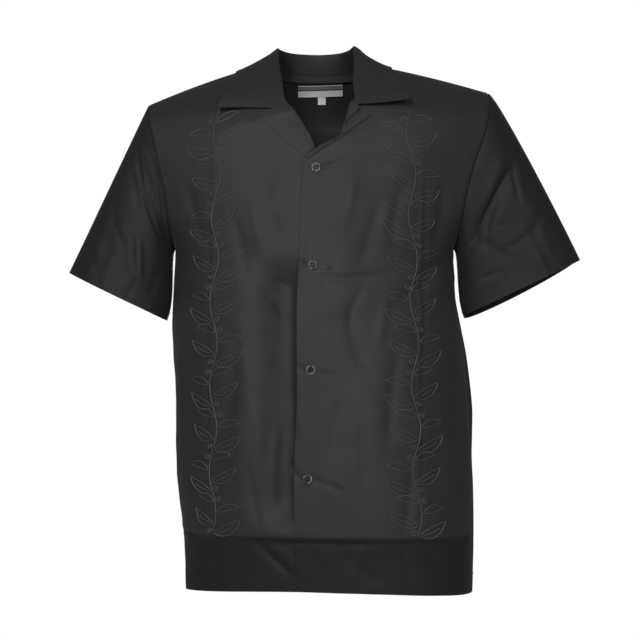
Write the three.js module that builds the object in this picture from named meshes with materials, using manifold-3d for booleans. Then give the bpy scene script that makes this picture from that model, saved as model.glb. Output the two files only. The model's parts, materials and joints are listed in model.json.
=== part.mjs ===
// A short-sleeve shirt with an open camp collar, filled out as if worn and hollow inside.
// Millimetres, +Z up. The front faces -Y and the wearer's left is at +X. The origin is the
// middle of the neck base, level with the points where the shoulder seams meet the neck,
// which is where a wearer holds the shirt up.
//
// Each piece that is cut and sewn is one closed wall. Its outer face is a function of two
// parameters, and the wall's thickness goes inwards from that face. The panels' edges are
// shared curves, read from the short tables below, so neighbours meet along their seams.
import * as THREE from "three";
import { mergeVertices } from "three/addons/utils/BufferGeometryUtils.js";
import manifoldModule from "manifold-3d";

const cutter = await manifoldModule();
cutter.setup();

const { clamp, lerp, smoothstep, degToRad } = THREE.MathUtils;

// Driving sizes
const CLOTH = 1.5; // wall of a panel
const SEAM_GAP = 0.3; // between neighbours at a seam
const SLEEVE_GAP = 0.6; // a little more round the armholes, whose two edges bend apart
const HEM_Z = -740; // body length from the neck point down
const HEM_RISE = [5, -2, -7]; // the hem's lift a + b q + c q^2, where q is x over the half width
const UNDERARM_Z = -262;
const YOKE_SEAM_Z = -86; // at the centre back
const EDGE_PAST_CENTRE = 19; // each front runs this far past the button line
const OVERLAP_LIFT = 2.8; // the buttoned front lies this far over the other
const OVERLAP_ENDS = { x: [25, 80], z: [-60, -20] }; // where it comes down to the other's level
const FLAT_BY_BUTTONS = [24, 50]; // folds begin and are full this far from the button line
const ROUNDNESS = 2.25; // exponent of the body's rounded sections, where 2 is an ellipse
const CHEST_FILL = 7; // how far the upper chest swells between neck and armhole
const CHEST_END_ANGLE = 48; // where a row of the chest stops round its section, in degrees
const BACK_END_ANGLE = 52;
const BACK_DROP_POWER = 1.4; // a row of the upper back falls to the armhole as share to this

// The body, section by section. half is half the width, front and back are the depths from
// the side seams, and centre and turn move and turn the section as the shirt hangs.
const BODY = [
  { z: -740, half: 205, front: 124, back: 119, centre: 16, turn: 11 },
  { z: -672, half: 206, front: 138, back: 118, centre: 15.5, turn: 10.5 },
  { z: -657, half: 207, front: 150, back: 117, centre: 15, turn: 10 },
  { z: -575, half: 210, front: 151, back: 112, centre: 10.5, turn: 8.5 },
  { z: -476, half: 208, front: 149, back: 107, centre: 7.5, turn: 6 },
  { z: -376, half: 205, front: 145, back: 109, centre: -0.7, turn: 3 },
  { z: -327, half: 200, front: 141, back: 112, centre: -4, turn: 1.5 },
  { z: -262, half: 197, front: 135, back: 118, centre: -3.5, turn: 0.5 },
  { z: -180, half: 195, front: 124, back: 124, centre: -2, turn: 0 },
  { z: -142, half: 195, front: 118, back: 125, centre: -1, turn: 0 },
  { z: -86, half: 195, front: 104, back: 121, centre: 2, turn: 0 },
  { z: 30, half: 195, front: 90, back: 100, centre: 2, turn: 0 },
];

// The armhole seam: how far out it lies at each height, and its depth before and behind.
const ARMHOLE = [
  { z: -262, x: 197 },
  { z: -240, x: 203 },
  { z: -208, x: 208 },
  { z: -187, x: 211 },
  { z: -160, x: 217 },
  { z: -137, x: 223 },
  { z: -110, x: 231 },
  { z: -80, x: 238 },
  { z: -48, x: 241 },
];
const ARMHOLE_FRONT = 62;
const ARMHOLE_BACK = 70;
const SHOULDER_Z = { "-1": -57, 1: -40 }; // the wearer's right shoulder sits lower
const SHOULDER_ROUNDING = 1.25; // the seam falls from the neck as share to this power

// The neck seam of one side, from the centre back over the neck point to where it meets
// the roll line, with x away from the centre. at runs from 0 to 1.
const NECK_POINT_AT = 0.47;
const NECK_SEAM_BACK = [
  { at: 0, x: 0, y: 78, z: -7 },
  { at: 0.15, x: 37, y: 71, z: -6.5 },
  { at: 0.3, x: 65, y: 45, z: -4.5 },
  { at: 0.42, x: 78.5, y: 15, z: -2.5 },
  { at: NECK_POINT_AT, x: 80, y: 2, z: -2 },
  { at: 0.58, x: 78.5, y: -24, z: -8 },
  { at: 0.7, x: 70, y: -52, z: -23 },
];
const NECK_SEAM = {
  "-1": [...NECK_SEAM_BACK, { at: 0.85, x: 52, y: -82, z: -50 }, { at: 1, x: 31, y: -101, z: -75 }],
  1: [...NECK_SEAM_BACK, { at: 0.85, x: 54.5, y: -76, z: -46 }, { at: 1, x: 43, y: -95, z: -66 }],
};

// The edge of each front above the underarm: up the front edge to the break point, then
// along the roll line to the neck seam. x is away from the centre on the piece's own side.
const ROLL_ENDS_AT = { "-1": 0.6, 1: 0.73 };
const FRONT_EDGE = {
  "-1": [
    { at: 0, x: -EDGE_PAST_CENTRE, y: -134.6, z: UNDERARM_Z },
    { at: 0.2, x: -EDGE_PAST_CENTRE, y: -126, z: -195 },
    { at: 0.34, x: -15, y: -118.5, z: -150 },
    { at: 0.42, x: 2, y: -115, z: -126 },
    { at: 0.51, x: 16, y: -109, z: -100 },
    { at: 0.6, x: 31, y: -101, z: -75 },
  ],
  1: [
    { at: 0, x: -EDGE_PAST_CENTRE, y: -134.6, z: UNDERARM_Z },
    { at: 0.2, x: -EDGE_PAST_CENTRE, y: -126, z: -195 },
    { at: 0.35, x: -EDGE_PAST_CENTRE + 2, y: -117.5, z: -142 },
    { at: 0.44, x: 4, y: -116, z: -124 },
    { at: 0.55, x: 32, y: -111, z: -108.5 },
    { at: 0.64, x: 38, y: -103.5, z: -86 },
    { at: 0.73, x: 43, y: -95, z: -66 },
  ],
};

// Sleeves: the outer tip and the inner end of each hem as seen from the front, how deep the
// opening is from front to back, how far it hangs lower behind, and how strongly the top of
// the sleeve leaves the armhole outwards.
const SLEEVES = {
  "-1": { tip: [-351, -295], inner: [-212, -362], depth: 122, backHang: 3, leave: 5 },
  1: { tip: [373, -277], inner: [207, -356], depth: 84, backHang: 9, leave: 45 },
};
const SLEEVE_FORWARD = -6; // the hem's centre lies this far before the shoulder
const SLEEVE_LEAVES = new THREE.Vector3(0.9, 0, -0.43); // direction at the armhole
const UNDERARM_LEAVE = 28;
const SLEEVE_ARRIVES = 0.9; // share of the sleeve's reach with which it runs into the hem
const BACK_HANG_TURN = 0.35; // radians round the hem towards the tip

// The collar's fold line and the outer edge of its leaf, from the centre back (at 0) to the
// front end (at 1). An edge row gives x and y where it lies on the yoke, x and z on a front.
const FOLD_LINE = {
  "-1": [
    { at: 0, x: 0, y: 70, z: 22 },
    { at: 0.15, x: 30, y: 62, z: 22.5 },
    { at: 0.3, x: 48.5, y: 42, z: 24.5 },
    { at: 0.42, x: 54, y: 18, z: 25 },
    { at: 0.55, x: 54.5, y: -12, z: 13 },
    { at: 0.7, x: 53, y: -46, z: -10 },
    { at: 0.85, x: 47, y: -80, z: -42 },
    { at: 1, x: 30, y: -105, z: -75 },
  ],
  1: [
    { at: 0, x: 0, y: 70, z: 22 },
    { at: 0.15, x: 27, y: 62, z: 23 },
    { at: 0.3, x: 42, y: 42, z: 26 },
    { at: 0.42, x: 46.5, y: 18, z: 28 },
    { at: 0.55, x: 48, y: -12, z: 15 },
    { at: 0.7, x: 48, y: -46, z: -10 },
    { at: 0.85, x: 46.5, y: -79, z: -40 },
    { at: 1, x: 43, y: -101, z: -67 },
  ],
};
const LEAF_EDGE_BACK = [
  { at: 0, x: 0, y: 112 },
  { at: 0.15, x: 40, y: 105 },
  { at: 0.3, x: 76, y: 84 },
  { at: 0.42, x: 98, y: 48 },
];
const LEAF_EDGE = {
  "-1": [
    ...LEAF_EDGE_BACK,
    { at: 0.54, x: 112, y: 6 },
    { at: 0.8, x: 122, z: -36 },
    { at: 1, x: 135, z: -75.5 },
  ],
  1: [
    ...LEAF_EDGE_BACK,
    { at: 0.54, x: 101, y: 6 },
    { at: 0.8, x: 111, z: -34 },
    { at: 1, x: 123.5, z: -68 },
  ],
};
const COLLAR_CLEARANCE = 3.2; // from the cloth beneath to the leaf's outer face at its edge
const LEAF_MIDDLE = { share: 0.6, lift: 6.5 }; // the same part of the way in from the edge
const CORNER_LIFT = { "-1": 9, 1: 12 }; // how much further the leaf's corner stands off
const CORNER_SHARE_POWER = 3;
const CORNER_FROM = 0.72; // the place along the collar where the corner begins
const END_SINK = 0.3; // the middle of the leaf lies this share lower at the end
const COLLAR_ROLL = 4.5; // half the thickness of the collar at its fold
const ROLL_RISE = 1.5; // the inner side of the roll above the fold line
const ROLL_OUT = 1.6; // the curve's control point past the fold, as shares of the roll
const ROLL_UP = 1.5;
const ROLL_FLATTENS = 0.6; // share of the roll that is pressed flat at the front end
const STAND_GAP = 2.5 * SEAM_GAP; // the stand's foot above the neck seam
const STAND_RUNS_OUT = 0.42; // share of the curve left out where the stand runs out in front

// Lapels, as seen from the front: the roll line and the outer edge, from the top down.
const LAPEL = {
  "-1": [
    { at: 0, rollX: 32, rollZ: -76, edgeX: 81, edgeZ: -79 },
    { at: 0.5, rollX: 16, rollZ: -100, edgeX: 51, edgeZ: -109 },
    { at: 1, rollX: 1, rollZ: -121, edgeX: 16, edgeZ: -137 },
  ],
  1: [
    { at: 0, rollX: 54, rollZ: -75, edgeX: 75.7, edgeZ: -79.3 },
    { at: 0.22, rollX: 45.5, rollZ: -83, edgeX: 62, edgeZ: -89.3 },
    { at: 0.42, rollX: 37.5, rollZ: -95.5, edgeX: 48.5, edgeZ: -98.9 },
    { at: 0.6, rollX: 32, rollZ: -107, edgeX: 35, edgeZ: -111 },
    { at: 0.8, rollX: 8, rollZ: -121.5, edgeX: 10, edgeZ: -126 },
    { at: 1, rollX: -14, rollZ: -138.5, edgeX: -12, edgeZ: -143 },
  ],
};
const LAPEL_LIFT = { "-1": 3, 1: 1.5 }; // how far the middle of a lapel swells off the front
const LAPEL_FLATTENS = 0.6; // share of that swelling lost towards the break point
const LAPEL_REST = CLOTH + 2 * SEAM_GAP; // its outer face above the front's at its edges
const NOTCH_AT = 0.68; // where the lapel's top meets the collar's end, from the roll line
const NOTCH_RISE = { "-1": 6, 1: 0 };

// Buttons on the centre line, top to bottom
const BUTTON_Z = [-153, -287, -430, -578];
const BUTTON_DIAMETER = 12.5;
const BUTTON_FACE = 3.4; // radius of the sunken face inside the rim
const BUTTON_SINK = 0.8; // of that face's edge below the rim
const BUTTON_ROUNDING = 0.6; // of the outer edges
const BUTTON_THICKNESS = 2.4;
const BUTTON_HOLE = 0.9; // radius
const BUTTON_HOLE_SPACING = 3;
const BUTTON_REST = 3 * SEAM_GAP; // its underside above the front

// The woven label inside the neck and the size tag below it
const LABEL = { middle: 5, wide: 66, top: -19.5, bottom: -34.4, thick: 1 };
const TAG = { middle: 7, wide: 11.6, top: -35.2, bottom: -45.4, thick: 1 };

// The value in column key where column along holds at, on a smooth curve through the table
// that never swings past its rows.
function readTable(table, along, at, key) {
  const last = table.length - 1;
  let i = 0;
  while (i < last - 1 && at > table[i + 1][along]) i++;
  const slope = (k) => (table[k + 1][key] - table[k][key]) / (table[k + 1][along] - table[k][along]);
  const tangent = (k) => {
    if (k === 0) return slope(0);
    if (k === last) return slope(last - 1);
    const [before, after] = [slope(k - 1), slope(k)];
    return before * after <= 0 ? 0 : (2 * before * after) / (before + after);
  };
  const span = table[i + 1][along] - table[i][along];
  const t = clamp((at - table[i][along]) / span, 0, 1);
  const [t2, t3] = [t * t, t * t * t];
  return (
    (2 * t3 - 3 * t2 + 1) * table[i][key] +
    (t3 - 2 * t2 + t) * span * tangent(i) +
    (3 * t2 - 2 * t3) * table[i + 1][key] +
    (t3 - t2) * span * tangent(i + 1)
  );
}

const body = (z, key) => readTable(BODY, "z", z, key);
const pointIn = (table, at) => {
  const [x, y, z] = ["x", "y", "z"].map((key) => readTable(table, "at", at, key));
  return new THREE.Vector3(x, y, z);
};

// Moves and turns a point of the upright body as the shirt hangs at that height.
function hang(p) {
  const turn = -degToRad(body(p.z, "turn"));
  const [c, s] = [Math.cos(turn), Math.sin(turn)];
  return new THREE.Vector3(body(p.z, "centre") + c * p.x - s * p.y, s * p.x + c * p.y, p.z);
}

// The soft folds and creases of the cloth. Each runs from (x1, z1) to (x2, z2) as seen from
// the front or the back, and fades towards its ends. A negative height is a trough.
const FRONT_FOLDS = [
  { x1: -75, z1: -330, x2: -42, z2: -640, width: 17, height: -6 },
  { x1: -104, z1: -300, x2: -96, z2: -600, width: 22, height: 3 },
  { x1: -20, z1: -318, x2: 95, z2: -302, width: 10, height: -2.5 },
  { x1: 168, z1: -292, x2: 140, z2: -318, width: 9, height: -4 },
  { x1: -192, z1: -316, x2: -150, z2: -338, width: 9, height: -4 },
  { x1: 60, z1: -420, x2: 96, z2: -650, width: 30, height: 3 },
  { x1: 150, z1: -380, x2: 170, z2: -620, width: 20, height: -3 },
  { x1: -160, z1: -590, x2: -185, z2: -650, width: 12, height: -4 },
];
const BACK_FOLDS = [
  { x1: -70, z1: -230, x2: -88, z2: -700, width: 24, height: 5 },
  { x1: 66, z1: -250, x2: 92, z2: -690, width: 26, height: 5 },
  { x1: 0, z1: -330, x2: 8, z2: -700, width: 24, height: -5 },
  { x1: -150, z1: -290, x2: -100, z2: -430, width: 18, height: -4 },
  { x1: 150, z1: -290, x2: 104, z2: -450, width: 18, height: -4 },
  { x1: 196, z1: -380, x2: 216, z2: -535, width: 14, height: 5 },
];
const SLEEVE_FOLDS = [
  { x1: -226, z1: -112, x2: -196, z2: -250, width: 9, height: -5 },
  { x1: -240, z1: -150, x2: -206, z2: -262, width: 8, height: -5 },
  { x1: -232, z1: -120, x2: -206, z2: -245, width: 9, height: 4 },
  { x1: -250, z1: -245, x2: -250, z2: -318, width: 8, height: 3 },
  { x1: 276, z1: -146, x2: 212, z2: -262, width: 10, height: -6 },
  { x1: 262, z1: -130, x2: 238, z2: -205, width: 12, height: 3 },
  { x1: 222, z1: -248, x2: 272, z2: -276, width: 8, height: -3 },
  { x1: 300, z1: -180, x2: 322, z2: -290, width: 20, height: 3 },
];
const SLEEVE_BACK_FOLDS = [
  { x1: -262, z1: -120, x2: -214, z2: -250, width: 12, height: -5 },
  { x1: 268, z1: -120, x2: 216, z2: -250, width: 12, height: -5 },
  { x1: -300, z1: -200, x2: -268, z2: -320, width: 16, height: 3 },
  { x1: 306, z1: -190, x2: 288, z2: -315, width: 16, height: 3 },
];

// How far a set of folds lifts the cloth at (x, z).
function foldHeight(folds, x, z) {
  return folds.reduce((sum, fold) => {
    const [dx, dz] = [fold.x2 - fold.x1, fold.z2 - fold.z1];
    const length = Math.hypot(dx, dz);
    const along = ((x - fold.x1) * dx + (z - fold.z1) * dz) / length ** 2;
    const across = ((x - fold.x1) * dz - (z - fold.z1) * dx) / length;
    const fade = smoothstep(along, -0.15, 0.3) * (1 - smoothstep(along, 0.7, 1.15));
    return sum + fold.height * fade * Math.exp(-((across / fold.width) ** 2));
  }, 0);
}

// The outward normal of a surface, from a small step each way.
function normalOf(surface, u, v, side) {
  const step = 1e-3;
  const along = (du, dv) =>
    surface(clamp(u + du, 0, 1), clamp(v + dv, 0, 1)).sub(surface(clamp(u - du, 0, 1), clamp(v - dv, 0, 1)));
  return along(step, 0).cross(along(0, step)).normalize().multiplyScalar(side);
}

// A surface with folds: each point moves along the normal, less near the panel's edges.
function folded(surface, side, folds, keep) {
  return (u, v) => {
    const p = surface(u, v);
    const height = foldHeight(folds, p.x, p.z) * keep(u, v, p);
    return height === 0 ? p : p.addScaledVector(normalOf(surface, u, v, side), height);
  };
}

// One row of the body between a point at its inner edge and a point at its outer edge.
// The row follows a rounded section that starts at the angle of the inner point and ends
// at endAngle, where a right angle makes it run straight back at the side.
function sectionRow(inner, outer, endAngle, u) {
  const startAngle = Math.asin(clamp(inner.x / outer.x, -0.9, 0.9));
  const angle = lerp(startAngle, endAngle, u);
  const power = (x) => Math.abs(x) ** ROUNDNESS;
  const radius = (a) => (power(Math.cos(a)) + power(Math.sin(a))) ** (-1 / ROUNDNESS);
  const across = (a) => radius(a) * Math.sin(a);
  const depth = (a) => radius(a) * Math.cos(a);
  const share = (across(angle) - across(startAngle)) / (across(endAngle) - across(startAngle));
  const drop = (depth(startAngle) - depth(angle)) / (depth(startAngle) - depth(endAngle));
  return { share, x: lerp(inner.x, outer.x, share), y: lerp(inner.y, outer.y, drop) };
}

// The armhole seam at an angle from the underarm (0) over the front to the shoulder (180
// degrees) and down the back, with x away from the centre.
function armhole(side, angle) {
  const middle = (SHOULDER_Z[side] + UNDERARM_Z) / 2;
  const z = middle - (SHOULDER_Z[side] - middle) * Math.cos(angle);
  const depth = Math.sin(angle) > 0 ? ARMHOLE_FRONT : ARMHOLE_BACK;
  return new THREE.Vector3(readTable(ARMHOLE, "z", z, "x"), -depth * Math.sin(angle), z);
}

// The shoulder seam from the neck point (0) to the armhole (1), with x away from the centre.
function shoulderSeam(side, share) {
  const neck = pointIn(NECK_SEAM[side], NECK_POINT_AT);
  const end = armhole(side, Math.PI);
  const drop = share ** SHOULDER_ROUNDING;
  return new THREE.Vector3(lerp(neck.x, end.x, share), lerp(neck.y, end.y, share), lerp(neck.z, end.z, drop));
}

// Rows of quads below and above the underarm. The vertices of neighbours meet in pairs along
// the side seams and round the armholes, where a row spans the same angle on each.
const ROWS_BELOW = 12;
const ARMHOLE_STEP = Math.PI / 10;
const FRONT_ROWS = ROWS_BELOW + 10;
const BACK_ROWS = ROWS_BELOW + 7;
const UNDERARM_AT = ROWS_BELOW / FRONT_ROWS;

// The edge of a front above the underarm, with x away from the centre.
function frontEdge(side, at) {
  const rollEnd = ROLL_ENDS_AT[side];
  if (at < rollEnd) return pointIn(FRONT_EDGE[side], at);
  return pointIn(NECK_SEAM[side], lerp(1, NECK_POINT_AT, (at - rollEnd) / (1 - rollEnd)));
}

// How far the hem is lifted at x, which fades up the body as (1 - share) to the sixth.
function hemRise(x, share) {
  const [a, b, c] = HEM_RISE;
  const q = x / BODY[0].half;
  return (a + b * q + c * q * q) * clamp(1 - share, 0, 1) ** 6;
}

// A front's surface before its folds: u runs from the front edge to the side seam or the
// armhole, and v from the hem to the shoulder seam.
function frontShape(side, u, v) {
  let p;
  if (v <= UNDERARM_AT) {
    const z = lerp(HEM_Z, UNDERARM_Z, v / UNDERARM_AT);
    const half = body(z, "half");
    const tilt = Math.asin(EDGE_PAST_CENTRE / half);
    const inner = { x: -EDGE_PAST_CENTRE, y: -body(z, "front") * Math.cos(tilt) };
    const row = sectionRow(inner, { x: half, y: 0 }, Math.PI / 2, u);
    p = new THREE.Vector3(row.x, row.y, z + hemRise(row.x, v / UNDERARM_AT));
  } else {
    const at = (v - UNDERARM_AT) / (1 - UNDERARM_AT);
    const inner = frontEdge(side, at);
    const outer = armhole(side, Math.PI * at);
    const endAngle = degToRad(lerp(90, CHEST_END_ANGLE, smoothstep(at, 0, 0.45)));
    const row = sectionRow(inner, outer, endAngle, u);
    const drop = row.share ** lerp(1, SHOULDER_ROUNDING, at);
    p = new THREE.Vector3(row.x, row.y, lerp(inner.z, outer.z, drop));
    p.y -= CHEST_FILL * Math.sin(Math.PI * clamp(p.x / outer.x, 0, 1)) ** 2 * Math.sin(Math.PI * at);
    const seam = shoulderSeam(side, row.share);
    p.lerp(seam, smoothstep(at, 0.75, 1) ** 2);
  }
  const { x, z } = OVERLAP_ENDS;
  if (side > 0) p.y -= OVERLAP_LIFT * (1 - smoothstep(p.x, ...x)) * (1 - smoothstep(p.z, ...z));
  p.x *= side;
  return hang(p);
}

// The folds of a front fade out towards the button line, the side seam and the shoulder.
const frontFold = (u, v, p) =>
  smoothstep(Math.abs(p.x - body(p.z, "centre")), ...FLAT_BY_BUTTONS) *
  (1 - smoothstep(u, 0.93, 1)) *
  (1 - smoothstep(v, 0.8, 0.95));
const front = (side) => folded((u, v) => frontShape(side, u, v), side, FRONT_FOLDS, frontFold);

// The back's surface: u runs from the wearer's right side to the left, and v from the hem
// up to the yoke seam.
const YOKE_ARMHOLE_ANGLE = (BACK_ROWS - ROWS_BELOW) * ARMHOLE_STEP; // the yoke seam's end
function backShape(u, v) {
  const side = u < 0.5 ? -1 : 1;
  const share = Math.abs(2 * u - 1);
  const underarmAt = ROWS_BELOW / BACK_ROWS;
  let inner;
  let outer;
  let endAngle = Math.PI / 2;
  if (v <= underarmAt) {
    const z = lerp(HEM_Z, UNDERARM_Z, v / underarmAt);
    inner = new THREE.Vector3(0, body(z, "back"), z);
    outer = new THREE.Vector3(body(z, "half"), 0, z);
  } else {
    const at = (v - underarmAt) / (1 - underarmAt);
    const z = lerp(UNDERARM_Z, YOKE_SEAM_Z, at);
    inner = new THREE.Vector3(0, body(z, "back"), z);
    outer = armhole(side, 2 * Math.PI - YOKE_ARMHOLE_ANGLE * at);
    endAngle = degToRad(lerp(90, BACK_END_ANGLE, smoothstep(at, 0, 0.6)));
  }
  const row = sectionRow(inner, outer, endAngle, share);
  const z = lerp(inner.z, outer.z, row.share ** BACK_DROP_POWER) + hemRise(side * row.x, v / underarmAt);
  return hang(new THREE.Vector3(side * row.x, row.y, z));
}
const backFold = (u, v) => (1 - smoothstep(Math.abs(2 * u - 1), 0.93, 1)) * (1 - smoothstep(v, 0.8, 0.97));
const back = folded(backShape, 1, BACK_FOLDS, backFold);

// The yoke's upper edge from the centre back over the neck point to the armhole.
const YOKE_NECK_SHARE = 0.42; // share of half the yoke's width that lies along the neck
const YOKE_LEAVES = 0.9; // share of its reach with which a curve of the yoke rises
const YOKE_DIPS = { shoulder: 0.12, neck: 1.1 }; // rise for each mm forwards where it arrives
function yokeTop(side, share) {
  return share < YOKE_NECK_SHARE
    ? pointIn(NECK_SEAM[side], (NECK_POINT_AT * share) / YOKE_NECK_SHARE)
    : shoulderSeam(side, (share - YOKE_NECK_SHARE) / (1 - YOKE_NECK_SHARE));
}

// A cubic curve between two points that leaves and arrives in given directions.
function hermite(start, startDirection, end, endDirection, t) {
  const [t2, t3] = [t * t, t * t * t];
  return start
    .clone()
    .multiplyScalar(2 * t3 - 3 * t2 + 1)
    .addScaledVector(startDirection, t3 - 2 * t2 + t)
    .addScaledVector(end, 3 * t2 - 2 * t3)
    .addScaledVector(endDirection, t3 - t2);
}

// The yoke's surface: u as on the back, v from the yoke seam to the neck and shoulders.
function yokeShape(u, v) {
  const side = u < 0.5 ? -1 : 1;
  const share = Math.abs(2 * u - 1);
  const foot = backShape(u, 1);
  const column = (s, low) => {
    const high = hang(yokeTop(side, s).multiply(new THREE.Vector3(side, 1, 1)));
    const reach = low.distanceTo(high);
    const neck = 1 - smoothstep(s, YOKE_NECK_SHARE * 0.6, YOKE_NECK_SHARE * 1.3);
    const arrive = new THREE.Vector3(0, -1, lerp(YOKE_DIPS.shoulder, YOKE_DIPS.neck, neck)).normalize();
    const leave = new THREE.Vector3(0, 0, reach * YOKE_LEAVES);
    return hermite(low, leave, high, arrive.multiplyScalar(reach), v);
  };
  const p = column(share, foot);
  const edge = column(1, backShape(side < 0 ? 0 : 1, 1));
  const angle = lerp(2 * Math.PI - YOKE_ARMHOLE_ANGLE, Math.PI, v);
  const seam = hang(armhole(side, angle).multiply(new THREE.Vector3(side, 1, 1)));
  return p.addScaledVector(seam.sub(edge), share ** 4);
}

// A sleeve's surface: u runs round from the underarm over the front, shoulder and back, and
// v from the armhole to the hem.
function sleeveShape(side, u, v) {
  const sleeve = SLEEVES[side];
  const angle = 2 * Math.PI * u;
  const out = SLEEVE_LEAVES.clone().multiply(new THREE.Vector3(side, 1, 1));
  const seam = armhole(side, angle).multiply(new THREE.Vector3(side, 1, 1));
  const root = hang(seam).addScaledVector(out, SLEEVE_GAP);
  const tip = new THREE.Vector3(sleeve.tip[0], SLEEVE_FORWARD, sleeve.tip[1]);
  const inner = new THREE.Vector3(sleeve.inner[0], SLEEVE_FORWARD, sleeve.inner[1]);
  const across = tip.clone().sub(inner).multiplyScalar(0.5);
  const down = new THREE.Vector3(across.z * side, 0, -Math.abs(across.x)).normalize();
  const hem = tip.clone().add(inner).multiplyScalar(0.5).addScaledVector(across, -Math.cos(angle));
  hem.y -= (sleeve.depth / 2) * Math.sin(angle);
  hem.addScaledVector(down, sleeve.backHang * Math.max(0, -Math.sin(angle - BACK_HANG_TURN)));
  const arrive = down.multiplyScalar(root.distanceTo(hem) * SLEEVE_ARRIVES);
  const leave = out.multiplyScalar(lerp(UNDERARM_LEAVE, sleeve.leave, (1 - Math.cos(angle)) / 2));
  return hermite(root, leave, hem, arrive, v);
}
function sleeve(side) {
  const shape = (u, v) => sleeveShape(side, u, v);
  return (u, v) => {
    const folds = u < 0.5 ? SLEEVE_FOLDS : SLEEVE_BACK_FOLDS;
    const keep = smoothstep(Math.abs(Math.sin(2 * Math.PI * u)), 0.25, 0.7) * smoothstep(v, 0.03, 0.2);
    const p = shape(u, v);
    const height = foldHeight(folds, p.x, p.z) * keep;
    return height === 0 ? p : p.addScaledVector(normalOf(shape, u, v, -side), height);
  };
}

// The point of a surface that has two given coordinates, found by Newton's method from a
// starting guess, and its outward normal.
const NEWTON_ROUNDS = 12;
function settle(surface, side, first, target, start) {
  let [u, v] = start;
  for (let round = 0; round < NEWTON_ROUNDS; round++) {
    const step = 1e-3;
    const p = surface(u, v);
    const pu = surface(clamp(u + step, 0, 1), v).sub(surface(clamp(u - step, 0, 1), v));
    const pv = surface(u, clamp(v + step, 0, 1)).sub(surface(u, clamp(v - step, 0, 1)));
    const wideU = clamp(u + step, 0, 1) - clamp(u - step, 0, 1);
    const wideV = clamp(v + step, 0, 1) - clamp(v - step, 0, 1);
    const [a, b] = [pu[first[0]] / wideU, pv[first[0]] / wideV];
    const [c, d] = [pu[first[1]] / wideU, pv[first[1]] / wideV];
    const [e, f] = [target[0] - p[first[0]], target[1] - p[first[1]]];
    const det = a * d - b * c;
    u = clamp(u + (d * e - b * f) / det, 0, 1);
    v = clamp(v + (a * f - c * e) / det, 0, 1);
  }
  return { point: surface(u, v), normal: normalOf(surface, u, v, side), u, v };
}
const onFront = (side, x, z) =>
  settle((u, v) => frontShape(side, u, v), side, ["x", "z"], [x, z], [0.4, 0.85]);

// The point at (x, y) as seen from above, on the yoke behind the shoulder seam or else on a
// front. The seam runs from the neck point's y to 0 at the armhole.
const onShoulder = (side, x, y) =>
  y > pointIn(NECK_SEAM[side], NECK_POINT_AT).y * (1 - x / armhole(side, Math.PI).x)
    ? settle(yokeShape, -1, ["x", "y"], [side * x, y], [0.5 + side * 0.2, 0.6])
    : settle((u, v) => frontShape(side, u, v), side, ["x", "y"], [side * x, y], [0.3, 0.95]);

// A line of the collar's leaf laid on the yoke and on a front, at a share of the way from
// the fold line to the outer edge and so far above the cloth, and further at its corner.
const LEAF_SAMPLES = 24;
function leafLine(side, share, rest) {
  const edge = LEAF_EDGE[side].map((row) => {
    if (row.z === undefined) return row;
    const p = onFront(side, side * row.x, row.z).point;
    return { at: row.at, x: row.x, y: p.y };
  });
  return Array.from({ length: LEAF_SAMPLES + 1 }, (_, i) => {
    const at = i / LEAF_SAMPLES;
    const [x, y] = ["x", "y"].map((key) => {
      const fold = readTable(FOLD_LINE[side], "at", at, key);
      return lerp(fold, readTable(edge, "at", at, key), share);
    });
    const found = onShoulder(side, x, y);
    const nearEnd = smoothstep(at, CORNER_FROM, 1);
    const sink = share < 1 ? END_SINK * nearEnd : 0;
    const lift = rest * (1 - sink) + CORNER_LIFT[side] * share ** CORNER_SHARE_POWER * nearEnd;
    const p = found.point.addScaledVector(found.normal, lift);
    return { at, x: side * p.x, y: p.y, z: p.z };
  });
}
const bothSides = (make) => ({ "-1": make(-1), 1: make(1) });
const LEAF_LINE = bothSides((side) => leafLine(side, 1, COLLAR_CLEARANCE));
const LEAF_MIDDLE_LINE = bothSides((side) => leafLine(side, LEAF_MIDDLE.share, LEAF_MIDDLE.lift));

// A clamped cubic B-spline through five control points.
function spline(points, t) {
  const knots = [0, 0, 0, 0, 0.5, 1, 1, 1, 1];
  const at = clamp(t, 0, 1 - 1e-9);
  const span = at < 0.5 ? 3 : 4;
  const d = points.slice(span - 3, span + 1).map((p) => p.clone());
  for (let r = 1; r <= 3; r++)
    for (let j = 3; j >= r; j--) {
      const low = knots[j + span - 3];
      const high = knots[j + 1 + span - r];
      d[j].sub(d[j - 1]).multiplyScalar((at - low) / (high - low)).add(d[j - 1]);
    }
  return d[3];
}

// The collar's surface: u runs from the wearer's right front end round the back to the
// left, and v from the neck seam up the stand, over the fold and down the leaf.
function collarShape(u, v) {
  const side = u < 0.5 ? -1 : 1;
  const at = Math.abs(2 * u - 1);
  const seam = pointIn(NECK_SEAM[side], at);
  const fold = pointIn(FOLD_LINE[side], at);
  const edge = pointIn(LEAF_LINE[side], at);
  const rise = new THREE.Vector3(0, 0, 1);
  const outwards = edge.clone().sub(fold).setZ(0).normalize();
  const nearEnd = smoothstep(at, 0.6, 1);
  const roll = COLLAR_ROLL * (1 - ROLL_FLATTENS * nearEnd);
  const stand = seam.clone().addScaledVector(fold.clone().sub(seam).normalize(), STAND_GAP);
  const controls = [
    stand,
    fold.clone().addScaledVector(outwards, -roll).addScaledVector(rise, ROLL_RISE),
    fold.clone().addScaledVector(outwards, roll * ROLL_OUT).addScaledVector(rise, roll * ROLL_UP),
    pointIn(LEAF_MIDDLE_LINE[side], at),
    edge,
  ];
  const p = spline(controls, lerp(STAND_RUNS_OUT * nearEnd, 1, v));
  p.x *= side;
  return hang(p);
}

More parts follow.
